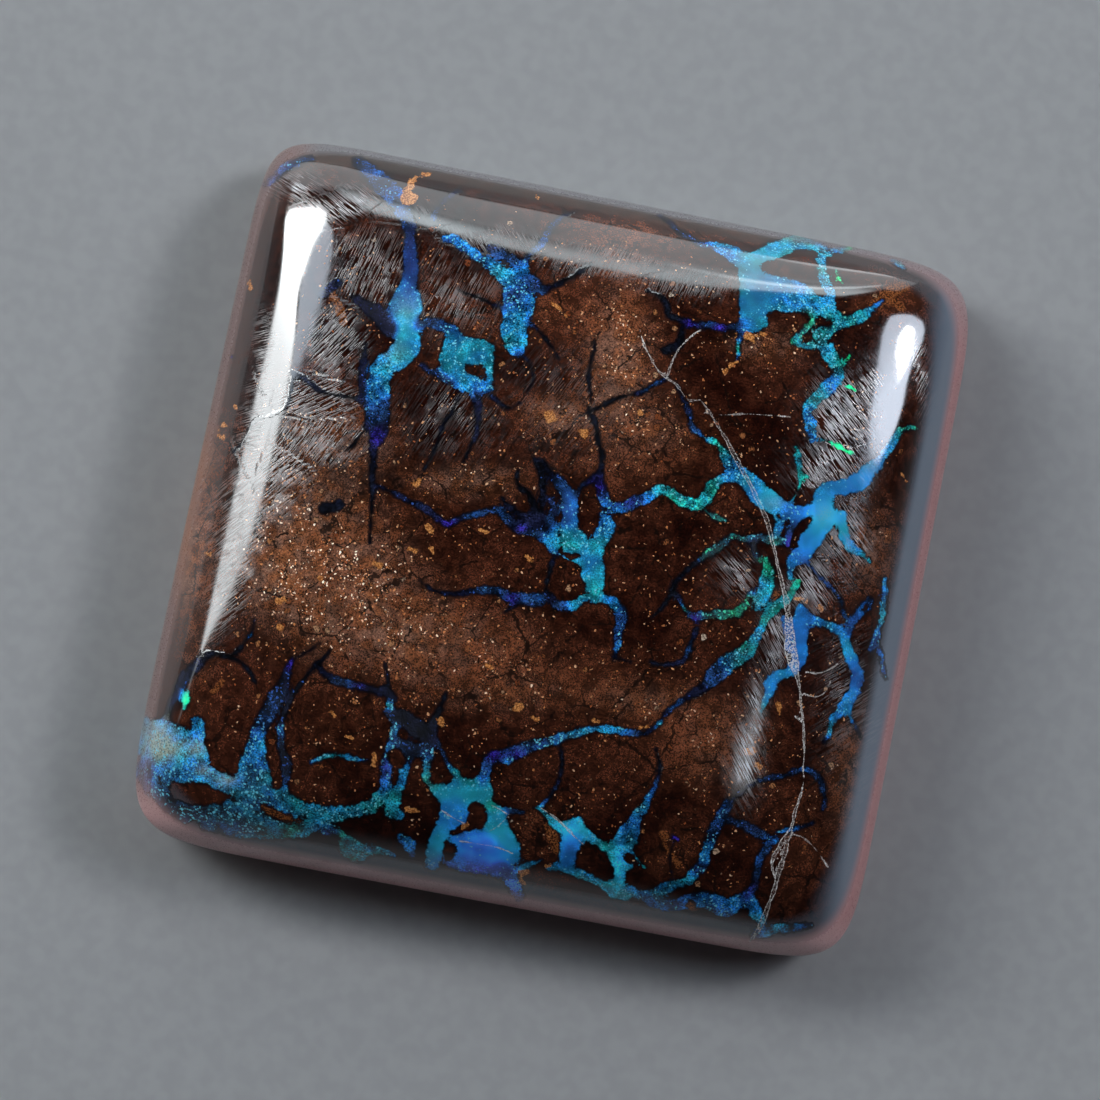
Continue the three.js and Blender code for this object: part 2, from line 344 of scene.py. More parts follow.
NEAR_RIGHT_ROUTES = {
    "glitter row": (0.55, [(723, 543, 4, 8), (733, 536, 6, 8.5), (742, 539, 6, 7), (752, 538, 8, 6),
        (762, 537, 8, 6.5), (772, 541, 8, 7), (783, 541, 8, 8)]),
    "glitter leg": (0.5, [(754, 541, 6, 0.5), (755, 551, 7, 1), (757, 559, 7, 8.5)]),
    "olive thread": (0.3, [(726, 541, 6, 2), (720, 546, 8, 6), (710, 553, 9, 7.6), (702, 559, 8, 7),
        (697, 563, 5, 0.5), (690, 568, 4, 0), (682, 575, 4, 0), (675, 583, 5, 0), (671, 592, 4, 0),
        (667, 600, 3, 0), (660, 610, 2.5, 0), (651, 618, 1.5, 0)]),
    "dashes": (0.5, [(702, 508, 3, 7), (710, 514, 5, 7.5), (718, 519, 5, 7.5), (726, 521, 4, 6.5)]),
    "spindle": (0.75, [(767, 560, 6, 8), (768, 571, 13, 7), (767, 583, 16, 6.3), (762, 597, 14, 6.3),
        (757, 608, 8, 6)]),
    "lower loop": (0.5, [(672, 590, 3, 0), (679, 599, 4, 1), (685, 610, 6, 7), (694, 617, 8, 1),
        (703, 616, 9, 6.5), (712, 615, 9, 7.5), (722, 614, 10, 7), (733, 614, 9, 8), (741, 611, 9, 8),
        (747, 604, 8, 8), (748, 597, 6, 8.5), (753, 590, 4, 0)]),
    "dark hook": (0.25, [(697, 628, 3, 0), (693, 638, 4, 1.5), (688, 650, 5, 2), (684, 660, 4, 0.5),
        (675, 664, 4, 0.5), (663, 665, 3, 0), (650, 662, 1.5, 0)]),
    "long vein": (0.75, [(799, 581, 6, 9), (794, 589, 9, 7.5), (788, 597, 10, 6.6), (781, 603, 11, 6.6),
        (772, 610, 12, 7), (766, 618, 11, 7.4), (762, 627, 9, 6.5), (756, 638, 11, 6.2), (748, 650, 15, 6.6),
        (738, 658, 17, 6.2), (728, 664, 19, 4.5), (719, 671, 19, 2.3), (710, 681, 15, 2),
        (702, 689, 11, 0.5), (692, 695, 9, 0.5), (684, 700, 7, 1), (673, 707, 5, 2.5), (664, 715, 5, 1),
        (660, 723, 4, 6), (652, 729, 5, 1), (644, 734, 6, 1.5), (633, 733, 7, 2.5), (620, 731, 8, 4),
        (608, 729, 8, 5), (596, 729, 7, 4.5), (585, 731, 8, 5), (573, 734, 9, 4.6), (560, 739, 10, 4.4),
        (548, 742, 11, 4), (535, 745, 12, 3.2), (522, 750, 14, 2.4), (510, 754, 14, 1.9),
        (498, 757, 12, 1.5), (489, 760, 12, 2), (487, 769, 11, 2.4), (483, 779, 11, 3),
        (480, 788, 12, 5.5)]),
    "long vein glow": (0.6, [(494, 755, 8, 1), (508, 760, 7, 5), (516, 756, 8, 1)]),
    "bar": (0.95, [(801, 607, 9, 4), (801, 614, 16, 4), (800, 628, 19, 3.8), (799, 645, 18, 4),
        (798, 660, 16, 4), (793, 671, 12, 4), (784, 674, 11, 4.5), (775, 678, 12, 4.5), (770, 685, 14, 4.6),
        (768, 695, 9, 4.6), (763, 705, 5, 5.5), (761, 716, 2.5, 6)]),
    "bar lobe": (0.7, [(784, 618, 7, 3.5), (788, 632, 9, 3.5), (789, 648, 6, 4)]),
    "right stem": (0.9, [(806, 619, 10, 4), (818, 622, 9, 4.6), (830, 626, 9, 5), (839, 631, 10, 5),
        (845, 640, 11, 5), (848, 651, 11, 4.8), (853, 662, 12, 4.2), (857, 675, 13, 3.2),
        (855, 689, 14, 3.6), (850, 700, 13, 4.2), (842, 709, 12, 4.5), (836, 716, 10, 4.8),
        (831, 724, 8, 4.8), (829, 732, 6, 4.5), (824, 742, 4, 0)]),
    "right fork": (0.6, [(846, 706, 9, 5), (850, 718, 6, 5.5), (856, 727, 4, 2), (860, 737, 2.5, 0)]),
    "right bud": (0.3, [(849, 634, 5, 3), (851, 623, 6, 2), (858, 614, 10, 2.5), (866, 606, 12, 2.5),
        (871, 600, 8, 2)]),
    "edge vein": (0.7, [(884, 579, 4, 4), (885, 590, 7, 4), (884, 601, 7, 4), (883, 611, 7, 5.5),
        (881, 621, 6, 5), (878, 631, 6, 3.5), (875, 642, 7, 3), (871, 650, 5, 2.5)]),
    "edge ghost": (0.2, [(877, 640, 4, 3), (882, 660, 5, 3), (886, 680, 4, 3)]),
    "near arc": (0.3, [(729, 803, 6, 1.5), (735, 797, 5, 1), (745, 789, 5, 1), (755, 783, 5, 1),
        (766, 779, 6, 1.5), (780, 777, 6, 2), (792, 773, 6, 1.8), (803, 769, 7, 2.5), (812, 772, 7, 2),
        (820, 779, 6, 2), (823, 790, 6, 2), (825, 800, 5, 2), (822, 810, 2.5, 1)]),
    "near stem": (0.5, [(728, 802, 8, 3), (723, 815, 11, 3), (716, 827, 12, 2), (710, 840, 12, 3.5),
        (706, 852, 10, 3.8), (702, 864, 13, 3.6), (696, 871, 12, 3.5), (690, 878, 9, 6), (684, 883, 8, 6)]),
    "near bar": (0.25, [(725, 822, 4, 1), (737, 822, 7, 1.5), (750, 829, 10, 1.8), (762, 835, 9, 1.6),
        (776, 841, 3, 6)]),
    "near tick": (0.3, [(777, 833, 4, 4), (789, 829, 7, 4.5), (802, 827, 6, 2), (814, 822, 3, 1)]),
    "near leg": (0.3, [(774, 838, 5, 2), (768, 846, 8, 2), (760, 858, 8, 2.6), (757, 869, 7, 2.6),
        (755, 881, 8, 1.5), (751, 891, 9, 1.2), (746, 897, 10, 2.6)]),
}
NEAR_LEFT_ROUTES = {
    "navy rim": (0.4, [(208, 656, 7, 0.4), (195, 667, 11, 1), (184, 678, 11, 1), (177, 692, 9, 0.8),
        (171, 706, 7, 0.5), (168, 718, 5, 0)]),
    "green drop": (1.0, [(185, 694, 7, 9), (185, 701, 9, 9), (184, 707, 6, 8.5)]),
    "left crack": (0.2, [(254, 620, 2, 0), (252, 632, 3, 0), (245, 642, 3, 0), (238, 650, 3.5, 0),
        (230, 656, 4, 0), (214, 654, 3, 0), (202, 653, 2, 0)]),
    "left loop": (0.2, [(212, 653, 2.5, 0), (232, 658, 3, 0), (243, 664, 3, 0), (250, 672, 3, 0),
        (256, 683, 2, 0)]),
    "green mark": (0.6, [(247, 636, 2.5, 8.5), (252, 634, 3, 9)]),
    "spike": (0.65, [(292, 658, 3, 0), (289, 668, 6, 1), (285, 679, 11, 1.4), (279, 693, 16, 2),
        (271, 707, 17, 2.2), (264, 721, 17, 2.4), (257, 736, 17, 3.2), (256, 750, 18, 5)]),
    "spike crack": (0.25, [(317, 663, 3, 0), (300, 684, 3, 0), (291, 698, 4, 0), (285, 711, 5, 0.5)]),
    "slot": (0.45, [(285, 711, 5, 0.5), (281, 723, 6, 1.5), (281, 733, 7, 3.5), (280, 745, 8, 2),
        (284, 757, 11, 1.4), (287, 769, 11, 1.2), (285, 782, 8, 2), (285, 793, 9, 5), (289, 801, 10, 6)]),
    "slot bead": (0.7, [(282, 727, 4, 7), (281, 730, 4, 7)]),
    "top rail": (0.35, [(317, 664, 4, 0), (323, 672, 6, 0.5), (331, 679, 8, 1), (345, 683, 9, 2),
        (358, 686, 9, 1.2), (372, 690, 9, 0.8), (385, 692, 9, 0.5), (393, 698, 8, 0.5)]),
    "rail beads": (0.6, [(346, 682, 4, 7), (349, 684, 3, 8)]),
    "rail link": (0.2, [(330, 650, 3, 0), (322, 660, 3, 0), (317, 666, 3, 0)]),
    "upper faint": (0.15, [(292, 660, 2, 0), (310, 650, 2, 0), (320, 643, 1.5, 0)]),
    "rail stub": (0.2, [(385, 665, 2, 0), (388, 678, 2.5, 0), (389, 691, 5, 0)]),
    "post": (0.6, [(389, 694, 6, 1), (390, 705, 7, 8), (392, 715, 7, 3), (394, 725, 8, 5), (393, 738, 8, 5),
        (389, 750, 8, 4.5), (386, 762, 10, 2.6), (386, 776, 10, 3), (384, 788, 9, 3), (380, 798, 11, 6)]),
    "crossing": (0.6, [(310, 763, 3, 2), (319, 758, 5, 5.5), (329, 755, 6, 6.5), (340, 756, 5, 5.5),
        (350, 757, 5, 5.5), (359, 760, 3.5, 5), (369, 760, 2, 1)]),
    "opal upper": (0.85, [(140, 734, 36, 5.5), (160, 742, 44, 5.5), (178, 748, 42, 5.5),
        (194, 756, 30, 5.4)]),
    "opal lobe": (0.8, [(197, 724, 15, 4.5), (197, 735, 16, 4.2), (192, 748, 22, 5)]),
    "opal middle": (0.85, [(170, 768, 26, 5.2), (190, 770, 26, 5), (208, 776, 19, 5.2), (224, 783, 18, 5.2),
        (240, 789, 22, 5)]),
    "opal low left": (0.4, [(146, 770, 24, 3.5), (152, 786, 20, 3.5), (164, 802, 18, 3.5),
        (186, 814, 18, 4)]),
    "opal right": (0.7, [(256, 748, 20, 5.2), (254, 762, 28, 5), (255, 776, 34, 5), (258, 790, 38, 5),
        (262, 804, 40, 4.5)]),
    "opal low": (0.65, [(196, 812, 14, 4.5), (215, 813, 20, 5), (235, 812, 24, 5.5), (255, 814, 26, 5),
        (276, 812, 28, 5), (292, 808, 22, 5.6)]),
    "opal foot": (0.35, [(205, 824, 12, 4), (240, 830, 16, 5), (270, 831, 18, 6.6), (300, 831, 16, 6.6),
        (312, 826, 12, 5.5)]),
    "opal ledge": (0.9, [(272, 792, 16, 5.6), (290, 802, 14, 5.8), (302, 808, 14, 6), (315, 813, 18, 6),
        (330, 815, 19, 6), (345, 813, 15, 6), (360, 810, 14, 6), (371, 806, 15, 6.2), (379, 799, 14, 7)]),
    "opal toe": (0.6, [(318, 820, 14, 5), (326, 828, 13, 4), (335, 832, 9, 6), (342, 835, 6, 8.5)]),
    "teal toe": (0.55, [(345, 840, 11, 6), (351, 848, 22, 6.4), (358, 852, 20, 6.2), (370, 851, 13, 6),
        (382, 852, 9, 6), (394, 856, 4, 5)]),
    "soft blue": (0.2, [(402, 838, 10, 4), (410, 846, 13, 4.4), (412, 854, 8, 4)]),
    "grey band": (0.25, [(404, 764, 9, 4), (403, 776, 10, 5), (399, 788, 11, 5.5), (394, 800, 14, 6),
        (391, 810, 17, 6), (399, 816, 10, 5)]),
    "dark net": (0.2, [(385, 712, 4, 0), (400, 716, 14, 0), (412, 724, 18, 0.5), (424, 733, 18, 0.5),
        (432, 742, 12, 1)]),
    "net left": (0.35, [(393, 740, 7, 3), (403, 746, 13, 2), (415, 750, 16, 2.2), (428, 748, 14, 3)]),
    "net middle": (0.3, [(404, 748, 12, 2), (408, 760, 8, 4), (405, 768, 8, 5)]),
    "net stem": (0.25, [(446, 693, 3, 0), (441, 706, 6, 0), (435, 719, 8, 0), (431, 732, 9, 0.5)]),
    "net leg": (0.6, [(429, 745, 12, 3), (429, 756, 10, 4.5), (427, 768, 8, 6.4), (427, 779, 7, 7),
        (433, 788, 8, 6.6), (442, 793, 13, 6)]),
    "net right": (0.45, [(437, 741, 4, 2), (442, 752, 5, 2), (447, 762, 5, 2.5), (453, 772, 6, 6.5),
        (460, 779, 6, 7), (467, 786, 6, 6.5)]),
}
NEAR_MIDDLE_ROUTES = {
    "web top": (0.95, [(441, 793, 16, 6.2), (452, 792, 20, 6.2), (464, 790, 24, 6.2), (475, 792, 26, 6.2),
        (484, 791, 18, 6.2), (486, 781, 7, 6)]),
    "web left": (0.85, [(450, 796, 22, 5.6), (453, 808, 28, 4.6), (453, 818, 28, 4.3), (446, 828, 22, 5),
        (438, 838, 17, 5.6), (434, 851, 17, 5.4), (433, 864, 15, 5)]),
    "web right": (0.9, [(484, 794, 10, 6.4), (487, 802, 9, 7), (493, 807, 12, 7), (497, 816, 20, 6),
        (496, 828, 24, 6), (502, 838, 25, 6), (509, 848, 23, 5.6), (511, 858, 16, 5)]),
    "web blob": (0.9, [(455, 840, 10, 3.8), (468, 840, 26, 3.5), (478, 848, 40, 3.5), (494, 852, 32, 3.8),
        (507, 855, 20, 4.6)]),
    "web hem": (0.6, [(448, 862, 8, 3), (463, 863, 18, 3), (480, 867, 16, 2.8), (496, 868, 16, 2.6)]),
    "web tail": (0.45, [(503, 866, 18, 3), (510, 877, 17, 3.4), (515, 887, 14, 3.4), (520, 897, 9, 2.6)]),
    "web feeler": (0.35, [(503, 809, 6, 4), (512, 811, 6, 2.5), (523, 812, 3, 2)]),
    "high crack": (0.25, [(561, 750, 2, 0), (562, 762, 2.5, 0), (560, 775, 3.5, 0.5), (556, 787, 4, 1),
        (550, 797, 5, 2), (543, 804, 5, 2)]),
    "chain": (0.9, [(534, 807, 3, 6), (540, 809, 5, 6.6), (546, 815, 6, 6.4), (552, 821, 7, 6),
        (559, 827, 8, 6), (567, 831, 12, 6.2), (575, 832, 16, 6), (583, 833, 13, 6), (592, 839, 10, 6),
        (602, 845, 9, 6.2), (611, 850, 12, 6), (617, 860, 15, 6), (620, 872, 13, 6), (617, 884, 14, 6),
        (618, 893, 15, 6)]),
    "chain ear": (0.8, [(565, 826, 10, 6), (578, 822, 10, 6), (580, 829, 14, 6)]),
    "chain leg": (0.5, [(573, 838, 21, 4.5), (569, 850, 19, 3.6), (567, 862, 17, 4)]),
    "chain leg edge": (0.7, [(565, 837, 5, 6), (563, 850, 4, 5.6), (562, 866, 5, 6)]),
    "ladder": (0.6, [(614, 850, 10, 6), (623, 848, 10, 6), (631, 845, 10, 6), (634, 834, 12, 5.4),
        (634, 823, 13, 4.6), (640, 812, 11, 5), (646, 803, 9, 4.6), (652, 793, 7, 3), (657, 782, 5, 1.5),
        (660, 770, 3.5, 0), (659, 760, 2.5, 0), (656, 750, 2, 0)]),
    "ladder shade": (0.3, [(627, 828, 12, 4), (621, 839, 13, 4), (614, 848, 9, 5)]),
    "ladder tooth": (0.7, [(620, 866, 8, 6), (631, 867, 5, 6)]),
    "ladder thread": (0.3, [(632, 851, 2, 6), (638, 860, 3, 6), (645, 868, 2, 6)]),
    "hem": (0.75, [(549, 868, 8, 5), (562, 869, 9, 5.6), (575, 872, 10, 5.4), (588, 878, 9, 5.4),
        (600, 883, 9, 5.6), (610, 888, 13, 6), (620, 893, 17, 6), (632, 893, 12, 5.6), (645, 896, 12, 5.6),
        (656, 893, 12, 5.2), (666, 888, 11, 5.2), (676, 884, 10, 5.4), (685, 882, 9, 5.8),
        (692, 878, 8, 6)]),
    "hem left": (0.4, [(521, 868, 8, 5), (530, 865, 7, 5.5), (540, 861, 4, 5)]),
    "hem shade": (0.3, [(652, 902, 12, 4), (670, 905, 14, 3.6), (688, 902, 14, 3.6), (702, 898, 14, 4)]),
    "near edge": (0.8, [(702, 898, 13, 4), (712, 902, 19, 4), (723, 908, 18, 4), (735, 905, 15, 4.6),
        (745, 899, 15, 4.8), (752, 906, 15, 5), (757, 914, 13, 5.6), (762, 921, 8, 6)]),
    "near corner": (0.6, [(752, 936, 6, 3.6), (763, 932, 11, 4.2), (777, 929, 10, 4.8), (793, 928, 8, 4.4),
        (810, 926, 5, 3)]),
    "far speck": (0.6, [(673, 837, 4, 1), (677, 839, 4, 1)]),
    "dark thread": (0.15, [(673, 842, 1.5, 0), (670, 858, 2, 0), (671, 874, 1.5, 0)]),
}

VEIN_ROUTES = (
    FAR_LEFT_ROUTES, FAR_MIDDLE_ROUTES, FAR_RIGHT_ROUTES, MIDDLE_ROUTES, NEAR_RIGHT_ROUTES,
    NEAR_LEFT_ROUTES, NEAR_MIDDLE_ROUTES,
)

# Ironstone left standing inside the veins: x, y and width.
ISLANDS = {
    "knot": [(469, 370, 8), (476, 371, 10), (483, 370, 7)],
    "far right upper": [(764, 270, 4), (774, 268, 11), (790, 266, 19), (804, 264, 18), (813, 264, 11)],
    "far right middle": [(772, 319, 10), (784, 322, 14), (797, 320, 10)],
    "far right bead": [(817, 323, 5), (829, 323, 5)],
    "far right wedge": [(830, 342, 5), (846, 335, 12), (856, 333, 8)],
    "trunk notch": [(564, 553, 3), (571, 558, 7), (577, 557, 5)],
    "trunk nick": [(560, 542, 2.5), (561, 551, 3)],
    "body one": [(810, 518, 6), (803, 526, 9), (797, 535, 7), (793, 545, 5)],
    "body two": [(786, 524, 4), (783, 535, 4)],
    "body three": [(779, 511, 2), (778, 517, 3)],
    "slab": [(176, 787, 9), (176, 797, 9), (184, 792, 19), (200, 795, 20), (212, 797, 16), (219, 800, 9)],
    "slot wall": [(274, 745, 6), (275, 765, 12), (277, 785, 9)],
    "web cell": [(474, 809, 13), (479, 816, 17), (480, 824, 11)],
    "web sliver": [(452, 833, 3), (462, 829, 7), (472, 825, 7)],
    "web wedge": [(447, 842, 5), (449, 852, 10), (449, 857, 9)],
    "hem knot": [(675, 893, 7), (676, 895, 7)],
    "edge cells": [(690, 905, 9), (692, 907, 9)],
    "upper island": [(589, 502, 14), (589, 513, 20), (587, 525, 16)],
    "net island": [(396, 756, 16), (397, 762, 15)],
    "bud cell": [(863, 610, 3), (866, 607, 4)],
    "low brown": [(150, 802, 7), (158, 814, 12), (150, 824, 10)],
    "low brown two": [(262, 806, 5), (275, 814, 9), (290, 819, 9)],
}

# The pale fibrous crack down the right half: x, y and width.
PALE_CRACKS = {
    "upper": [(640, 330, 1.2), (644, 345, 1.6), (651, 358, 1.6), (658, 370, 1.6), (668, 379, 2),
        (677, 385, 1.6), (683, 394, 1.6), (690, 401, 1.6), (700, 400, 2), (708, 410, 2.2), (715, 421, 2.2),
        (721, 431, 2.5), (727, 441, 2.8), (732, 451, 3.8), (737, 460, 4.6), (742, 470, 4.2), (748, 480, 3.4),
        (753, 490, 4.2), (758, 501, 2.8), (763, 511, 3.4), (767, 521, 4.2), (770, 531, 3.4), (772, 541, 2.8),
        (775, 552, 2), (777, 563, 2.6), (780, 575, 3), (783, 587, 3.8), (786, 598, 4.6), (788, 611, 6)],
    "middle": [(788, 611, 6), (789, 625, 8), (790, 640, 10), (792, 655, 12), (795, 668, 8), (798, 680, 3),
        (800, 692, 1.8), (801, 705, 1.6), (803, 720, 1.9), (804, 740, 1.6), (804, 758, 1.6), (803, 770, 2.2),
        (804, 779, 1.5), (802, 790, 1.7), (799, 800, 1.7), (795, 812, 2), (793, 822, 3)],
    "lower": [(793, 822, 3.7), (790, 832, 3.7), (787, 842, 3.1), (785, 853, 3.7), (781, 865, 5),
        (777, 878, 4.3), (774, 890, 4.3), (770, 901, 3.7), (766, 912, 4.3), (762, 923, 5), (756, 933, 3.7),
        (750, 941, 2.4)],
    "lower split": [(788, 832, 2.4), (782, 841, 2), (777, 851, 2.4), (773, 859, 2.4), (772, 867, 2.2),
        (774, 875, 2.5), (776, 882, 2.5)],
    "top branch": [(667, 377, 1.2), (672, 362, 1.4), (678, 350, 1.4), (686, 341, 1.2), (695, 333, 1.2),
        (701, 330, 0.8)],
    "upper hair": [(704, 413, 0.5), (722, 415, 0.6), (745, 414, 0.6), (765, 415, 0.5), (790, 417, 0.3)],
    "hook": [(803, 693, 1), (814, 697, 1.3), (823, 694, 1.3), (828, 687, 1.1), (831, 680, 0.8)],
    "low hair": [(790, 834, 1.2), (800, 836, 1.2), (809, 842, 1.3), (816, 850, 1.1), (822, 858, 1.1),
        (828, 867, 1)],
    "side hair": [(806, 672, 1.3), (820, 673, 1.4), (832, 668, 1.1), (838, 664, 0.8)],
    "tick": [(795, 716, 1.3), (801, 722, 1.6)],
    "web line": [(438, 808, 0.4), (452, 817, 0.8), (465, 824, 0.5)],
    "web line low": [(459, 841, 0.4), (478, 844, 0.8), (496, 847, 0.7), (514, 854, 0.4)],
    "web line right": [(488, 832, 0.5), (498, 826, 0.9), (511, 814, 0.6)],
    "web line far": [(491, 805, 0.4), (501, 810, 0.8), (511, 817, 0.4)],
    "chain line": [(541, 808, 0.5), (553, 816, 0.8), (565, 826, 1), (574, 836, 0.9), (583, 844, 0.5)],
}

# Ochre and rust inclusions: x, y and width.
OCHRE_MARKS = {
    "hook": [(408, 199, 14), (410, 197, 17), (410, 190, 8), (410, 184, 5), (415, 177, 5), (422, 174, 4),
        (430, 174, 2)],
    "left marks": [(250, 279, 3), (250, 289, 3)],
    "bright grain": [(207, 553, 4), (209, 555, 4)],
    "middle grain": [(416, 484, 6), (419, 481, 6)],
    "big grain": [(549, 416, 9), (551, 419, 8)],
    "upper grain": [(640, 410, 5), (640, 413, 5)],
    "near grain": [(748, 751, 6), (753, 750, 7)],
    "near grain low": [(757, 766, 4), (759, 766, 4)],
    "cluster": [(796, 599, 6), (802, 599, 7)],
    "cluster side": [(808, 596, 5), (807, 602, 5)],
    "cluster low": [(821, 607, 4), (821, 611, 4)],
    "near pip": [(778, 705, 2.4), (780, 714, 2.4)],
    "curl": [(527, 871, 4), (521, 874, 6), (521, 880, 6), (525, 884, 4)],
    "far curl": [(899, 470, 2), (903, 475, 2.6), (906, 481, 2)],
    "low grain": [(515, 709, 7), (520, 707, 7)],
    "low grain right": [(533, 717, 4), (537, 720, 4)],
    "hem grain": [(593, 721, 3.5), (599, 722, 3)],
    "tail grain": [(641, 727, 3.5), (647, 726, 3)],
    "web grain": [(462, 827, 4), (468, 825, 5)],
    "hem fleck": [(546, 866, 4), (550, 866, 4)],
    "net grain": [(440, 720, 6), (442, 724, 5)],
    "fleck one": [(427, 526, 4), (431, 531, 5)],
    "fleck two": [(482, 530, 5), (486, 532, 5)],
    "fleck three": [(526, 556, 6), (530, 559, 6)],
    "fleck four": [(431, 549, 4), (433, 553, 4)],
    "fleck five": [(410, 549, 4), (416, 551, 4)],
    "fleck six": [(582, 432, 6), (585, 433, 5)],
    "fleck seven": [(486, 665, 4), (491, 668, 4)],
    "left pip": [(235, 407, 4), (236, 408, 4)],
    "left pip two": [(224, 425, 6), (226, 426, 5)],
    "left pip three": [(220, 436, 5), (221, 437, 5)],
    "left pip four": [(279, 600, 6), (284, 600, 5)],
    "left pip five": [(319, 578, 5), (321, 579, 5)],
    "left pip six": [(377, 565, 7), (380, 566, 7)],
    "left pip seven": [(280, 627, 5), (281, 628, 5)],
    "far pip": [(536, 197, 4), (537, 198, 4)],
    "far pip two": [(624, 241, 4), (626, 242, 4)],
    "far pip three": [(749, 336, 9), (752, 339, 9)],
    "far pip four": [(734, 333, 5), (736, 334, 5)],
    "far pip five": [(761, 334, 5), (763, 335, 5)],
    "far fibre": [(725, 372, 2), (730, 366, 2.4), (738, 362, 2)],
    "far fibre two": [(553, 305, 2), (560, 309, 2.2), (567, 317, 1.6)],
    "cell grain": [(409, 811, 5), (416, 811, 6)],
    "cell grain two": [(347, 736, 4), (351, 738, 4)],
    "cell grain three": [(332, 712, 3.5), (334, 716, 3.5)],
    "cell grain four": [(374, 755, 4), (373, 765, 5)],
}
RUST_MARKS = {
    "near left rust": [(212, 692, 4), (217, 688, 6), (222, 682, 4)],
    "left rust": [(332, 292, 7), (338, 305, 9), (343, 322, 8)],
    "far corner rust": [(873, 307, 9), (885, 298, 13), (895, 291, 13), (905, 286, 9)],
    "far corner rust two": [(890, 300, 7), (902, 308, 7)],
    "right rust": [(889, 532, 6), (888, 541, 7)],
    "triangle": [(770, 603, 6), (777, 594, 7)],
    "opal rust": [(262, 806, 8), (270, 812, 7)],
    "opal rust two": [(278, 812, 10), (290, 818, 12), (297, 823, 8)],
    "opal rust three": [(156, 770, 8), (166, 769, 6)],
    "hem rust": [(508, 865, 9), (515, 866, 8)],
    "hem rust two": [(688, 905, 8), (693, 907, 8)],
    "cell rust": [(671, 853, 6), (678, 865, 8)],
    "cell rust two": [(662, 834, 5), (666, 836, 5)],
    "cell rust three": [(664, 844, 4), (666, 848, 4)],
    "cell rust four": [(550, 826, 10), (556, 850, 8)],
    "cell rust five": [(712, 214, 3), (714, 216, 3)],
}

# Soft patches: x, y, how wide and how tall each is from its middle out, and its strength. First,
# where the ironstone is sandy, and where it is rusty.
SANDY_PATCHES = {
    "left": (335, 585, 56, 50, 1.0),
    "left side": (285, 565, 40, 36, 0.5),
    "left upper": (300, 505, 50, 24, 0.45),
    # Partly painted sheen: lighter sandy stone where the polish shows a hazy reflection.
    "left painted sheen": (320, 450, 60, 36, 0.35),
    "left lower": (415, 635, 44, 30, 0.5),
    "middle low": (500, 690, 60, 18, 0.25),
    "near middle": (640, 700, 50, 16, 0.3),
    "near right": (716, 745, 30, 30, 0.3),
    "far middle": (618, 365, 26, 60, 0.6),
    "far left grain": (560, 415, 30, 18, 0.45),
    "centre": (650, 430, 30, 20, 0.3),
    "knot": (470, 480, 50, 16, 0.3),
    "right": (868, 545, 22, 40, 0.3),
    "right upper": (770, 345, 40, 16, 0.2),
    "near right rim": (850, 780, 20, 60, 0.3),
    "left rim": (192, 500, 20, 110, 0.9),
    "middle rust": (455, 650, 60, 30, 0.3),
}
RUSTY_PATCHES = {
    "left": (340, 580, 70, 60, 0.8),
    "left rim": (200, 500, 20, 120, 0.8),
    "middle": (460, 655, 80, 36, 0.9),
    "middle right": (590, 690, 70, 26, 0.6),
    "near right": (690, 740, 60, 36, 0.9),
    "far middle": (620, 340, 34, 70, 0.6),
    "centre": (640, 450, 70, 40, 0.6),
    "upper left": (470, 310, 40, 40, 0.4),
    "far cell": (560, 310, 40, 30, 0.5),
    "corner": (890, 297, 26, 18, 0.5),
    "near cell": (545, 830, 24, 24, 0.4),
    "near web": (670, 850, 26, 24, 0.4),
    "near left cell": (340, 730, 40, 40, 0.25),
    "far band": (640, 234, 80, 16, 0.6),
    "near right corner": (805, 850, 34, 60, 0.4),
}
# Patches where a vein is only green and blue flecks in a dull ground.
FLECKED_PATCHES = {
    "glitter row": (752, 541, 38, 10, 1.0),
    "glitter leg": (757, 558, 8, 10, 1.0),
    "olive thread": (710, 553, 18, 12, 1.0),
    "lower loop": (718, 614, 36, 12, 0.9),
    "lower loop end": (750, 598, 8, 14, 0.9),
    "post": (391, 730, 10, 36, 0.5),
    "net leg": (430, 770, 12, 22, 0.5),
    "opal foot": (280, 828, 50, 8, 0.4),
    "opal low left": (166, 804, 36, 28, 1.0),
    "opal low": (230, 818, 50, 18, 0.7),
    "plum": (370, 312, 26, 22, 0.5),
    "slot": (284, 750, 10, 40, 0.5),
    "spike": (276, 700, 18, 24, 0.35),
    "rail": (350, 686, 34, 9, 0.4),
    "navy rim": (186, 680, 20, 24, 0.4),
    "net": (412, 730, 28, 24, 0.5),
    "dashes": (716, 517, 16, 10, 1.0),
    "far beads": (804, 330, 14, 22, 0.7),
    "long vein": (745, 652, 20, 20, 0.3),
    "long vein low": (560, 738, 50, 9, 0.35),
    "body": (755, 308, 14, 20, 0.4),
    "area left": (255, 785, 18, 24, 0.5),
}
# Patches where the opal is milky.
MILKY_PATCHES = {
    "rim": (158, 738, 14, 20, 1.0),
    "upper": (168, 748, 16, 10, 0.8),
    "lip": (197, 748, 10, 8, 0.7),
    "ridge": (205, 770, 9, 6, 0.6),
    "tip": (226, 780, 10, 6, 0.8),
    "trunk": (408, 308, 16, 16, 0.3),
    "trunk low": (392, 352, 14, 12, 0.2),
    "node": (824, 514, 10, 10, 0.25),
    "junction": (775, 503, 12, 7, 0.25),
}
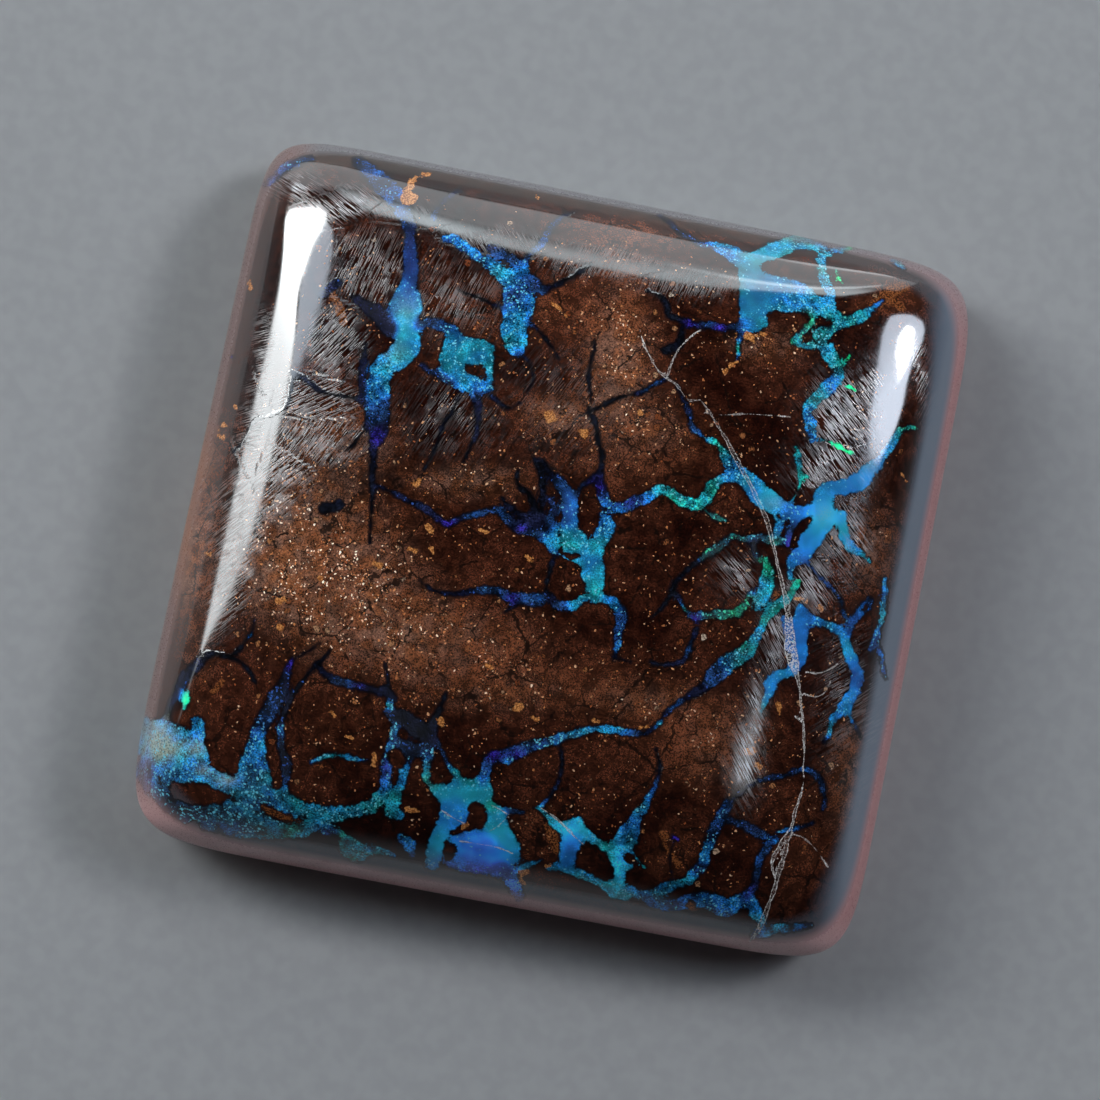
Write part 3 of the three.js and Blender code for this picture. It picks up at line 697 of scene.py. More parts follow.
# Patches where a vein is violet.
VIOLET_PATCHES = {
    "left thread": (448, 524, 7, 5, 0.9),
    "left thread end": (522, 528, 4, 3, 0.9),
    "trunk": (411, 262, 10, 26, 0.15),
    "low thread": (512, 598, 6, 5, 0.8),
    "left trunk": (377, 437, 6, 7, 0.9),
    "body": (788, 543, 6, 7, 1.0),
    "long vein": (494, 755, 8, 6, 1.0),
    "long vein two": (517, 756, 9, 6, 0.8),
    "far speck": (675, 838, 6, 5, 1.0),
    "dot": (233, 357, 6, 6, 1.0),
    "plum": (370, 314, 22, 20, 0.05),
    "spike": (290, 664, 5, 6, 0.7),
    "band": (691, 323, 6, 4, 0.8),
    "band two": (719, 328, 6, 4, 0.8),
    "lower loop": (695, 618, 6, 5, 0.9),
    "rail": (360, 686, 7, 5, 0.7),
    "hook": (597, 488, 7, 8, 0.6),
    "bow": (628, 502, 12, 6, 0.4),
    "toe": (331, 833, 8, 5, 0.7),
    "web hem": (478, 868, 26, 8, 0.4),
    "web blue": (480, 846, 20, 13, 0.25),
    "tail": (515, 888, 10, 14, 0.4),
    "near corner": (745, 892, 8, 8, 0.5),
    "post": (386, 765, 6, 10, 0.4),
}
# Patches where the opal is smooth and glassy, with no glitter in it.
GLASSY_PATCHES = {
    "junction": (768, 497, 30, 16, 0.8),
    "node": (824, 514, 24, 22, 1.0),
    "body": (808, 543, 22, 26, 1.0),
    "neck": (862, 478, 34, 24, 1.0),
    "bar": (798, 640, 18, 40, 0.9),
    "bar foot": (772, 690, 16, 30, 0.7),
    "stem": (852, 670, 24, 50, 0.7),
    "web blob": (482, 850, 34, 16, 1.0),
    "web left": (450, 820, 22, 26, 0.6),
    "trunk": (410, 260, 12, 40, 0.7),
    "right leg": (845, 535, 14, 26, 0.6),
    "web top": (465, 795, 34, 14, 0.7),
    "web right": (500, 838, 20, 34, 0.8),
    "web foot": (434, 850, 14, 26, 0.7),
    "chain ear": (575, 830, 26, 14, 0.6),
    "chain leg": (568, 852, 16, 20, 0.7),
    "chain foot": (617, 872, 16, 26, 0.5),
    "green drop": (184, 700, 10, 12, 1.0),
    "green dash": (850, 388, 12, 8, 1.0),
    "green thread": (843, 449, 16, 9, 1.0),
    "crown": (765, 270, 34, 26, 0.9),
    "crown foot": (752, 305, 18, 22, 0.7),
    "trunk cyan": (406, 325, 18, 34, 0.6),
    "block": (466, 358, 28, 26, 0.35),
    "spine": (592, 572, 20, 34, 0.3),
    "spike four": (570, 508, 12, 26, 0.6),
}
# Patches where a vein is brighter than its hue or, below zero, darker.
GLOWING_PATCHES = {
    "trunk azure": (411, 262, 12, 26, -0.35),
    "trunk cyan": (406, 340, 18, 26, 0.15),
    "knot": (466, 352, 26, 20, -0.25),
    "haze": (388, 190, 26, 24, -0.3),
    "node": (826, 512, 22, 14, 0.45),
    "bar": (800, 640, 14, 34, -0.22),
    "crown": (762, 278, 34, 24, -0.6),
    "crown foot": (751, 314, 18, 18, -0.3),
    "web blue": (480, 848, 24, 18, 1.4),
    "spindle": (766, 585, 12, 20, 0.5),
    "web hem": (470, 866, 30, 9, 0.8),
    "web tail": (513, 884, 12, 18, 0.9),
    "area left": (258, 780, 22, 30, -0.4),
    "opal upper": (168, 745, 26, 16, 0.25),
    "opal middle": (203, 774, 26, 10, 1.6),
    "opal low left": (172, 806, 40, 24, -0.45),
    "spike": (274, 700, 16, 26, -0.45),
    "slot": (285, 760, 10, 36, -0.35),
    "leg": (594, 580, 14, 22, 0.2),
    "bow teal": (690, 503, 30, 10, 1.4),
    "long vein low": (560, 738, 50, 12, -0.25),
    "near stem": (714, 840, 16, 34, -0.4),
    "ladder": (640, 810, 18, 40, -0.3),
    "chain": (617, 872, 16, 26, 1.0),
    "chain ear": (575, 830, 26, 14, 0.8),
    "green drop": (184, 700, 10, 12, 0.8),
    "green dash": (850, 388, 12, 8, 0.8),
    "green thread": (843, 449, 16, 9, 0.8),
}
# Patches where the scratches are painted near white: a painted highlight where they catch the light.
PAINTED_GLINT_PATCHES = {
    "near streak": (757, 705, 6, 26, 1.0),
    "near streak low": (745, 758, 11, 32, 1.0),
    "right": (838, 412, 22, 32, 0.5),
    "right low": (826, 465, 24, 20, 0.45),
    "far corner": (292, 184, 22, 14, 0.6),
    "below neck": (850, 530, 14, 24, 0.4),
    "right middle": (812, 585, 24, 24, 0.35),
    "bar": (774, 640, 14, 30, 0.4),
    "cell": (735, 575, 18, 20, 0.3),
    "comet foot": (210, 625, 14, 30, 0.9),
    "block": (346, 203, 30, 16, 0.5),
    "right edge": (922, 385, 8, 40, 0.2),
}
# Patches where the pale crack is fainter.
FADED_PATCHES = {
    "upper": (700, 400, 80, 80, 0.6),
    "middle": (757, 510, 26, 60, 0.4),
    "web": (490, 828, 40, 26, 0.45),
    "hook": (820, 688, 18, 12, 0.6),
    "side hair": (826, 668, 18, 7, 0.5),
    "low hair": (812, 846, 20, 18, 0.5),
}
PATCHES = {
    "violet": VIOLET_PATCHES,
    "sandy": SANDY_PATCHES,
    "rusty": RUSTY_PATCHES,
    "milky": MILKY_PATCHES,
    "flecked": FLECKED_PATCHES,
    "glassy": GLASSY_PATCHES,
    "glow": GLOWING_PATCHES,
    "painted_glint": PAINTED_GLINT_PATCHES,
    "faded": FADED_PATCHES,
}
# Fine polishing scratches: patches, each with the degrees by which they rise to the right.
SCRATCHES = {
    "block top": (346, 203, 30, 16, 0.9, -42),
    "block corner": (308, 186, 30, 12, 0.7, -38),
    "block foot": (374, 264, 30, 34, 1.0, 66),
    "far trunk": (455, 290, 46, 42, 0.75, 63),
    "far left": (340, 345, 24, 30, 1.0, 45),
    "crack side": (325, 400, 34, 20, 0.9, 24),
    "comet edge": (262, 345, 10, 40, 0.7, 8),
    "comet": (250, 430, 16, 60, 0.5, 12),
    "comet low": (232, 530, 26, 70, 0.7, 35),
    "left": (325, 440, 44, 24, 0.8, 50),
    "left low": (280, 480, 30, 34, 0.6, 38),
    "knot": (450, 415, 50, 34, 0.5, 55),
    "centre left": (570, 400, 60, 50, 0.3, 52),
    "far strip": (400, 212, 50, 12, 0.5, -60),
    "far strip left": (500, 240, 50, 14, 0.7, -62),
    "far strip middle": (600, 262, 50, 16, 0.5, 64),
    "far strip right": (700, 285, 60, 12, 0.5, 66),
    "right": (838, 412, 28, 34, 1.0, -50),
    "right side": (866, 388, 12, 24, 0.6, -52),
    "right low": (830, 468, 34, 24, 1.0, -54),
    "right edge": (924, 385, 9, 36, 0.5, 62),
    "below neck": (852, 545, 28, 34, 0.8, -50),
    "right middle": (812, 585, 26, 24, 0.9, -54),
    "cell": (735, 575, 20, 22, 0.9, -48),
    "bar": (774, 640, 15, 32, 0.9, -62),
    "near streak": (757, 708, 9, 30, 1.0, -60),
    "near streak low": (745, 762, 14, 34, 1.0, -62),
    "near right": (850, 700, 30, 70, 0.5, 30),
}

# The walls of the studio: the way out to each from the stone, its sideways and its up.
WALLS = {
    "left": ((-1, 0, 0), (0, 1, 0), (0, 0, 1)),
    "right": ((1, 0, 0), (0, 1, 0), (0, 0, 1)),
    "far": ((0, 1, 0), (1, 0, 0), (0, 0, 1)),
    "ceiling": ((0, 0, 1), (0, 1, 0), (1, 0, 0)),
}
ROOM = 300.0
# Each light hangs this much behind the one before. Where two faces coincide, only one would show.
LIGHT_STEP = 2.0
# Soft lights on the walls: the wall, the colour, how bright the face is, how wide its lower and its
# upper soft edges are, and the shape of the face. A row of the shape is how far sideways it is, where
# the face begins and ends going up from there, and its share of the brightness.
LIGHTS = {
    "left_comet": ("left", (0.93, 0.98, 1.0), 16.0, 16, 16, [(-52, 84, 94, 0.07), (-44, 84, 98, 0.24),
        (-32, 84, 98, 0.27), (-19, 82, 96, 0.36), (-8, 86, 101, 0.42), (-2, 84, 114, 0.3),
        (4, 78, 138, 0.25), (10, 74, 160, 0.3), (16, 72, 171, 0.29), (22, 70, 183, 0.31),
        (30, 70, 197, 0.34), (40, 72, 204, 0.36), (52, 78, 208, 0.42), (64, 84, 208, 0.55), (74, 86, 200, 1),
        (84, 84, 200, 1), (98, 76, 212, 1), (114, 72, 232, 1), (136, 89, 252, 1), (186, 160, 291, 1),
        (232, 215, 324, 1), (292, 280, 345, 1), (315, 320, 345, 1)]),
    "left_glow": ("left", (0.76, 0.87, 1.0), 3.2, 5, 8, [(50, 195, 202, 1), (53, 204, 222, 1),
        (60, 204, 240, 1), (74, 204, 268, 1), (93, 206, 300, 1), (119, 232, 332, 1), (152, 262, 362, 1),
        (191, 290, 388, 1), (234, 318, 402, 1), (290, 340, 398, 1)]),
    "right_core": ("right", (0.98, 0.99, 1.0), 30.0, 8, 8, [(140, 232, 238, 1), (153, 214, 252, 1),
        (191, 215, 284, 1), (215, 220, 300, 1), (249, 224, 307, 1), (269, 242, 307, 1), (297, 268, 276, 1)]),
    "right_comet": ("right", (0.76, 0.85, 1.0), 6.6, 10, 10, [(66, 190, 214, 1), (76, 166, 250, 1),
        (92, 168, 284, 1), (117, 186, 318, 1), (145, 190, 344, 1), (172, 168, 362, 0.9),
        (214, 162, 386, 0.8), (261, 180, 402, 0.75), (339, 236, 412, 0.7), (377, 274, 405, 0.7),
        (409, 316, 391, 0.7), (432, 350, 378, 0.6)]),
    "far_strip": ("far", (0.84, 0.95, 1.0), 4.1, 70, 14, [(-168, 165, 192, 0.5), (-148, 146, 230, 0.8),
        (-113, 136, 254, 0.9), (-74, 126, 234, 0.8), (-43, 116, 214, 0.95), (-16, 108, 203, 0.6),
        (0, 108, 205, 0.6), (13, 103, 204, 0.65), (26, 100, 198, 0.6), (39, 100, 195, 0.6),
        (64, 100, 194, 0.65), (90, 96, 192, 0.7), (101, 96, 165, 0.7), (112, 104, 130, 0.5)]),
    "far_line": ("far", (0.84, 0.95, 1.0), 3.0, 7, 7, [(8, 122, 142, 0.4), (19, 131, 150, 0.8),
        (29, 138, 158, 1), (39, 142, 162, 1), (50, 143, 164, 1), (63, 143, 164, 1), (71, 128, 152, 1),
        (85, 114, 140, 0.9), (98, 88, 110, 0.7), (104, 72, 88, 0.3)]),
    "far_edge": ("far", (0.90, 0.97, 1.0), 1.8, 4, 6, [(18, 2, 14, 0.2), (28, 2, 20, 0.8), (44, 2, 24, 1),
        (61, 2, 22, 1), (85, 2, 20, 0.9), (96, 2, 14, 0.4)]),
    "far_haze": ("far", (0.90, 0.96, 1.0), 1.2, 8, 20, [(-440, 2, 180, 0.6), (-320, 2, 190, 1),
        (-190, 2, 190, 1), (-140, 2, 170, 0.9), (-74, 2, 150, 1), (-16, 2, 140, 1), (26, 2, 140, 1),
        (90, 2, 130, 1), (140, 2, 120, 0.5)]),
    "near_streak": ("ceiling", (0.95, 0.97, 1.0), 1.5, 7, 7, [(-106, 124, 132, 0.1), (-98, 124, 142, 0.3),
        (-85, 126, 152, 0.7), (-66, 131, 157, 1), (-50, 140, 163, 1), (-37, 149, 170, 1),
        (-23, 160, 176, 0.7), (-14, 166, 177, 0.4), (-8, 168, 174, 0.1)]),
}


def camera_axes():
    """The camera's right, up and back, and where it stands, in millimetres."""
    back = np.array([0.0, -math.sin(CAMERA_LEAN), math.cos(CAMERA_LEAN)])
    up = np.array([0.0, 1.0, 0.0]) - back * back[1]
    up /= np.linalg.norm(up)
    right = np.cross(up, back)
    turned_right = right * math.cos(CAMERA_ROLL) + up * math.sin(CAMERA_ROLL)
    turned_up = up * math.cos(CAMERA_ROLL) - right * math.sin(CAMERA_ROLL)
    place = np.array(CAMERA_AIM) + back * CAMERA_DISTANCE
    return turned_right, turned_up, back, place


def photo_pixels(points):
    """Where points in millimetres show in the photograph."""
    right, up, back, place = camera_axes()
    seen = points - place
    depth = -(seen @ back)
    focal = PHOTO_SIZE * LENS / SENSOR
    across = PHOTO_SIZE / 2 + focal * (seen @ right) / depth
    down = PHOTO_SIZE / 2 - focal * (seen @ up) / depth
    return across, down


def corner_powers(u, v):
    """The power of the corner that each point of the face lies towards."""
    far = np.where(u >= 0, POWER_RIGHT_FAR, POWER_LEFT_FAR)
    near = np.where(u >= 0, POWER_RIGHT_NEAR, POWER_LEFT_NEAR)
    return np.where(v >= 0, far, near)


def level_power(level, corner):
    """The power of a level line: round at the crown, and as square as its corner at the girdle."""
    return CROWN_POWER + (corner - CROWN_POWER) * level ** SQUARING


def reach_at(level, cos, sin):
    """How far from the middle a level line lies, in a direction."""
    power = level_power(level, corner_powers(cos, sin))
    return level / (np.abs(cos) ** power + np.abs(sin) ** power) ** (1 / power)


def level_of(u, v):
    """The level line that passes through a point of the face, found by halving."""
    corner = corner_powers(u, v)
    low = np.zeros_like(u)
    high = np.ones_like(u)
    across = np.maximum(np.abs(u), NEARLY_ZERO)
    along = np.maximum(np.abs(v), NEARLY_ZERO)
    for _ in range(HALVINGS):
        middle = (low + high) / 2
        power = level_power(middle, corner)
        outside = (across ** power + along ** power) ** (1 / power) > middle
        low = np.where(outside, middle, low)
        high = np.where(outside, high, middle)
    return (low + high) / 2


def plan_of(u, v):
    """A point of the face laid out between the four corners."""
    to_right = ((1 + u) / 2)[:, None]
    to_far = ((1 + v) / 2)[:, None]
    near = np.array(CORNER_LEFT_NEAR) * (1 - to_right) + np.array(CORNER_RIGHT_NEAR) * to_right
    far = np.array(CORNER_LEFT_FAR) * (1 - to_right) + np.array(CORNER_RIGHT_FAR) * to_right
    return near * (1 - to_far) + far * to_far


def dome_height(level):
    return GIRDLE_HEIGHT + DOME_RISE * np.sqrt(1 - np.minimum(level, 1.0) ** DOME_POWER)


def stone_sheet():
    """A square grid with rings grown from its rim. A point's height is the number of its ring."""
    sheet = bmesh.new()
    bmesh.ops.create_grid(sheet, x_segments=GRID_CELLS, y_segments=GRID_CELLS, size=1.0)
    rim = [edge for edge in sheet.edges if edge.is_boundary]
    for ring in range(1, SHOULDER_RINGS + UNDERSIDE_RINGS + 1):
        grown = bmesh.ops.extrude_edge_only(sheet, edges=rim)["geom"]
        for vert in (part for part in grown if isinstance(part, bmesh.types.BMVert)):
            vert.co.z = ring
        rim = [part for part in grown if isinstance(part, bmesh.types.BMEdge) and part.is_boundary]
    for edge in rim:
        edge.smooth = False
    bmesh.ops.holes_fill(sheet, edges=rim, sides=0)
    put_in_order(sheet)
    bmesh.ops.recalc_face_normals(sheet, faces=sheet.faces)
    return sheet


def put_in_order(sheet):
    """Sorts the faces by their three lowest points, because extruding adds them in a varying order."""
    sheet.verts.index_update()
    count = len(sheet.verts)

    def order(face):
        first, second, third = sorted(vert.index for vert in face.verts)[:3]
        return (first * count + second) * count + third

    sheet.faces.sort(key=order)
    sheet.faces.index_update()


def directions(grid_x, grid_y):
    """The cosine and sine of the way out to each point from the middle."""
    angle = np.arctan2(grid_y, grid_x)
    return np.cos(angle), np.sin(angle)


def face_points(grid_x, grid_y):
    """Spreads the square grid over the dome, evenly at the crown and along a level line at its rim."""
    square = np.maximum(np.abs(grid_x), np.abs(grid_y))
    cos, sin = directions(grid_x, grid_y)
    at_rim = reach_at(GRID_LEVEL, cos, sin) * np.maximum(np.abs(cos), np.abs(sin))
    share = square ** GRID_EASE
    scale = (1 - share) * GRID_LEVEL + share * at_rim
    return grid_x * scale, grid_y * scale


def stone_points(grid_x, grid_y, ring):
    """Places of the sheet's points on the stone, and the same with the underside drawn to the girdle."""
    u, v = face_points(grid_x, grid_y)
    level = level_of(u, v)
    height = dome_height(level)
    cos, sin = directions(grid_x, grid_y)
    start = math.asin(GRID_LEVEL)
    shoulder = np.minimum(ring / SHOULDER_RINGS, 1.0)
    ring_level = np.sin(start + (math.pi / 2 - start) * shoulder)
    ring_height = dome_height(ring_level)
    turn = EDGE_TURN * np.maximum(ring - SHOULDER_RINGS, 0) / UNDERSIDE_RINGS
    under_level = 1 - BACK_INSET * (1 - np.cos(turn)) / (1 - math.cos(EDGE_TURN))
    under_height = GIRDLE_HEIGHT * (1 - np.sin(turn) / math.sin(EDGE_TURN))
    grown = ring > 0
    under = ring > SHOULDER_RINGS
    places = []
    for outer_level, outer_height in (
        (np.where(under, under_level, ring_level), np.where(under, under_height, ring_height)),
        (ring_level, ring_height),
    ):
        reach = reach_at(outer_level, cos, sin)
        plan = plan_of(np.where(grown, reach * cos, u), np.where(grown, reach * sin, v))
        places.append(np.column_stack([plan, np.where(grown, outer_height, height)]))
    low = places[0].min(axis=0)
    high = places[0].max(axis=0)
    middle = np.append((low[:2] + high[:2]) / 2, 0.0)
    return places[0] - middle, places[1] - middle


def flowing(route):
    """A smooth curve through the rows of a route, with points about a step apart."""
    rows = np.array(route, dtype=float)
    ghosted = np.vstack([2 * rows[0] - rows[1], rows, 2 * rows[-1] - rows[-2]])
    drawn = []
    for before, start, end, after in zip(ghosted, ghosted[1:], ghosted[2:], ghosted[3:]):
        count = max(1, int(np.hypot(*(end - start)[:2]) / ROUTE_STEP))
        for share in np.arange(count) / count:
            bend = 2 * before - 5 * start + 4 * end - after
            twist = 3 * (start - end) + after - before
            drawn.append(start + 0.5 * share * (end - before + share * (bend + share * twist)))
    drawn.append(rows[-1])
    return np.array(drawn)


def along_route(x, y, route):
    """For each point: how far outside the route's edge it is, the way to its middle line, half its
    width there, and its hue where it has one. All in the photograph's pixels."""
    rows = flowing(route)
    gap, way_x, way_y, half = nothing_near(x)
    hue = np.zeros(x.shape)
    for start, end in zip(rows[:-1], rows[1:]):
        step = end - start
        middle = (start + end) / 2
        span = ROUTE_REACH + np.abs(step[:2]) + max(start[2], end[2]) / 2
        near = np.nonzero((np.abs(x - middle[0]) < span[0]) & (np.abs(y - middle[1]) < span[1]))[0]
        square = max(step[0] ** 2 + step[1] ** 2, 1e-6)
        share = ((x[near] - start[0]) * step[0] + (y[near] - start[1]) * step[1]) / square
        share = np.clip(share, 0, 1)
        here_x = start[0] + share * step[0] - x[near]
        here_y = start[1] + share * step[1] - y[near]
        here_half = np.maximum(start[2] + share * step[2], LEAST_WIDTH) / 2
        here_gap = np.hypot(here_x, here_y) - here_half
        closer = here_gap < gap[near]
        chosen = near[closer]
        gap[chosen] = here_gap[closer]
        way_x[chosen] = here_x[closer]
        way_y[chosen] = here_y[closer]
        half[chosen] = here_half[closer]
        if len(start) > 3:
            hue[chosen] = (start[3] + share * step[3])[closer]
    return gap, way_x, way_y, half, hue


def nothing_near(x):
    """The gap, the way and the half width of points that no route comes near."""
    return [np.full(x.shape, FAR_OFF) for _ in range(3)] + [np.zeros(x.shape)]


def keep_closer(nearest, fields):
    """Takes over a route's fields where it is the closer one."""
    closer = fields[0] < nearest[0]
    for kept, new in zip(nearest, fields):
        kept[closer] = new[closer]


def vein_fields(x, y):
    """The veins together: depth inside them, the nearest middle line, hue and play."""
    nearest = nothing_near(x)
    joined = np.zeros(x.shape)
    weight = np.full(x.shape, 1e-12)
    hue_sum = np.zeros(x.shape)
    play_sum = np.zeros(x.shape)
    for play, route in (vein for part in VEIN_ROUTES for vein in part.values()):
        *fields, hue = along_route(x, y, route)
        keep_closer(nearest, fields)
        joined += np.exp(-fields[0] / VEIN_MELT)
        pull = np.exp(-fields[0] / HUE_BLEND)
        weight += pull
        hue_sum += pull * hue
        play_sum += pull * play
    depth = VEIN_MELT * np.log(np.maximum(joined, 1e-12))
    close = nearest[0] < HUE_REACH
    return depth, nearest, np.where(close, hue_sum / weight, 0.0), np.where(close, play_sum / weight, 0.0)


def nearest_of(x, y, routes):
    """The nearest of some plain routes: gap, way to its middle line and half its width."""
    nearest = nothing_near(x)
    for route in routes.values():
        keep_closer(nearest, along_route(x, y, route))
    return nearest


def patch_field(x, y, patches):
    """Soft round patches added up, at most 1."""
    total = np.zeros(x.shape)
    for across, down, wide, tall, strength in patches.values():
        total += strength * np.exp(-((x - across) / wide) ** 2 - ((y - down) / tall) ** 2)
    return np.minimum(total, 1.0)


def scratch_field(x, y):
    """How scratched each point is, and which way its scratches run on the stone. Where two patches
    meet, both fade."""
    strength = np.full(x.shape, 1e-6)
    second = np.zeros(x.shape)
    angle = np.zeros(x.shape)
    for across, down, wide, tall, most, rise in SCRATCHES.values():
        here = most * np.exp(-((x - across) / wide) ** 2 - ((y - down) / tall) ** 2)
        stronger = here > strength
        second = np.where(stronger, strength, np.maximum(second, here))
        strength = np.where(stronger, here, strength)
        angle[stronger] = math.radians(rise) + CAMERA_ROLL
    fade = np.clip((strength - second) / (SCRATCH_SEAM * strength + 1e-6), 0, 1)
    return np.minimum(strength * fade * SCRATCH_BOOST, 1.0), np.cos(angle), np.sin(angle)


def keep_number(mesh, name, values):
    layer = mesh.attributes.new(name, "FLOAT", "POINT")
    layer.data.foreach_set("value", values.astype(np.float32))


def keep_triple(mesh, name, first, second, third):
    layer = mesh.attributes.new(name, "FLOAT_VECTOR", "POINT")
    values = np.column_stack([first, second, third])
    layer.data.foreach_set("vector", values.astype(np.float32).ravel())


def keep_line(mesh, name, nearest):
    """Keeps the way to a line's middle with half its width, and the gap to its edge."""
    gap, way_x, way_y, half = (field * MM_PER_PIXEL for field in nearest)
    keep_triple(mesh, name + "_line", way_x, way_y, half)
    keep_number(mesh, name + "_gap", gap)


def draw_markings(mesh, places):
    """Keeps every marking on the stone's points, with its lengths in millimetres."""
    x, y = photo_pixels(places)
    depth, nearest, hue, play = vein_fields(x, y)
    keep_number(mesh, "vein_depth", depth * MM_PER_PIXEL)
    keep_line(mesh, "vein", nearest)
    keep_number(mesh, "vein_hue", hue)
    keep_number(mesh, "vein_play", play)
    keep_number(mesh, "island_depth", -nearest_of(x, y, ISLANDS)[0] * MM_PER_PIXEL)
    for name, routes in (("pale", PALE_CRACKS), ("ochre", OCHRE_MARKS), ("rust", RUST_MARKS)):
        keep_line(mesh, name, nearest_of(x, y, routes))
    for name, patches in PATCHES.items():
        keep_number(mesh, name, patch_field(x, y, patches))
    strength, along, across = scratch_field(x, y)
    keep_number(mesh, "scratched", strength)
    keep_triple(mesh, "scratch_way", along, across, np.zeros(along.shape))


def make_stone():
    """The whole stone, rim and flat back included, as one closed mesh."""
    sheet = stone_sheet()
    grid = np.array([vert.co[:] for vert in sheet.verts])
    places, marked = stone_points(grid[:, 0], grid[:, 1], grid[:, 2])
    for vert, place in zip(sheet.verts, places * METRES):
        vert.co = place
    bmesh.ops.recalc_face_normals(sheet, faces=sheet.faces)
    for face in sheet.faces:
        face.smooth = True
    mesh = bpy.data.meshes.new("polished_stone")
    sheet.to_mesh(mesh)
    sheet.free()
    draw_markings(mesh, marked)
    stone = bpy.data.objects.new("polished_stone", mesh)
    bpy.context.scene.collection.objects.link(stone)
    return stone


class Nodes:
    """Adds nodes to a tree, one plain call for each."""

    def __init__(self, tree):
        self.tree = tree

    def add(self, kind, **settings):
        node = self.tree.nodes.new(kind)
        for name, value in settings.items():
            setattr(node, name, value)
        return node

    def feed(self, socket, value):
        if isinstance(value, bpy.types.NodeSocket):
            self.tree.links.new(value, socket)
        elif isinstance(value, tuple) and socket.type == "RGBA":
            socket.default_value = (*value[:3], 1.0)
        else:
            socket.default_value = value

    def feed_all(self, sockets, values):
        for socket, value in zip(sockets, values):
            self.feed(socket, value)

    def maths(self, operation, *values, clamp=False):
        node = self.add("ShaderNodeMath", operation=operation, use_clamp=clamp)
        self.feed_all(node.inputs, values)
        return node.outputs[0]

    def times(self, first, second, clamp=False):
        return self.maths("MULTIPLY", first, second, clamp=clamp)

    def vector_maths(self, operation, *values, output=0):
        node = self.add("ShaderNodeVectorMath", operation=operation)
        self.feed_all(node.inputs, values)
        return node.outputs[output]

    def ramp(self, value, low, high, bottom=0.0, top=1.0, smooth=True):
        """A value taken from low..high to bottom..top, held at the ends."""
        node = self.add("ShaderNodeMapRange", clamp=True)
        node.interpolation_type = "SMOOTHSTEP" if smooth else "LINEAR"
        names = ("Value", "From Min", "From Max", "To Min", "To Max")
        self.feed_all([node.inputs[name] for name in names], (value, low, high, bottom, top))
        return node.outputs["Result"]

    def blend(self, share, first, second):
        """A number part of the way from the first to the second."""
        node = self.add("ShaderNodeMix")
        self.feed_all((node.inputs[0], node.inputs[2], node.inputs[3]), (share, first, second))
        return node.outputs[0]

    def mix(self, share, first, second, way="MIX"):
        """A colour part of the way from the first to the second."""
        node = self.add("ShaderNodeMix", data_type="RGBA", blend_type=way)
        self.feed_all((node.inputs["Factor"], node.inputs[6], node.inputs[7]), (share, first, second))
        return node.outputs[2]

    def grey(self, value):
        node = self.add("ShaderNodeCombineColor")
        self.feed_all(node.inputs[:3], (value,) * 3)
        return node.outputs[0]

    def shaded(self, colour, value):
        """A colour made darker or brighter by a number."""
        return self.mix(1.0, colour, self.grey(value), "MULTIPLY")

    def attribute(self, name, output="Fac"):
        return self.add("ShaderNodeAttribute", attribute_name=name).outputs[output]

    def parts(self, vector):
        node = self.add("ShaderNodeSeparateXYZ")
        self.feed(node.inputs[0], vector)
        return node.outputs

    def channels(self, colour):
        node = self.add("ShaderNodeSeparateColor")
        self.feed(node.inputs[0], colour)
        return node.outputs

    def noise(self, place, scale, detail=2.0, roughness=0.5, output=0, flat=False):
        node = self.add("ShaderNodeTexNoise", noise_dimensions="2D" if flat else "3D")
        names = ("Vector", "Scale", "Detail", "Roughness")
        self.feed_all([node.inputs[name] for name in names], (place, scale, detail, roughness))
        return node.outputs[output]

    def cells(self, place, size, feature="F1"):
        """Cells about as wide as a size in millimetres."""
        node = self.add("ShaderNodeTexVoronoi", feature=feature)
        self.feed(node.inputs["Vector"], place)
        self.feed(node.inputs["Scale"], 1 / (size * METRES))
        return node

    def colour_scale(self, value, colours, places=None):
        """A value from 0 to 1 turned into colours, evenly spaced or at the places given."""
        node = self.add("ShaderNodeValToRGB")
        if places is None:
            places = np.linspace(0, 1, len(colours))
        stops = node.color_ramp.elements
        stops[0].position = places[0]
        stops[1].position = places[-1]
        for spot in places[1:-1]:
            stops.new(spot)
        for stop, colour in zip(stops, colours):
            stop.color = (*colour, 1.0)
        self.feed(node.inputs[0], value)
        return node.outputs[0]


def stone_noises(n, place):
    """The noises that everything in the stone shares, and places pushed about by one of them."""
    stir = n.noise(place, 1 / (STIR_SIZE * METRES), 0.0, output=1)
    stirred = n.vector_maths("MULTIPLY_ADD", stir, (STIR_PUSH * METRES,) * 3, place)
    drift = n.channels(n.noise(place, DRIFT_SCALE, 1.0, 0.6, output=1))
    ragged = n.noise(place, RAGGED_SCALE, 3.0, 0.65)
    noises = {
        "grit": n.noise(place, 1 / (GRIT_SIZE * METRES), 1.0, 0.6),
        "cloud": n.noise(place, CLOUD_SCALE, 3.0, 0.6),
        "ragged": n.ramp(ragged, 0.25, 0.75, -RAGGED_DEPTH, RAGGED_DEPTH, smooth=False),
        "tint": drift[0],
        "shade": drift[1],
    }
    return noises, stirred


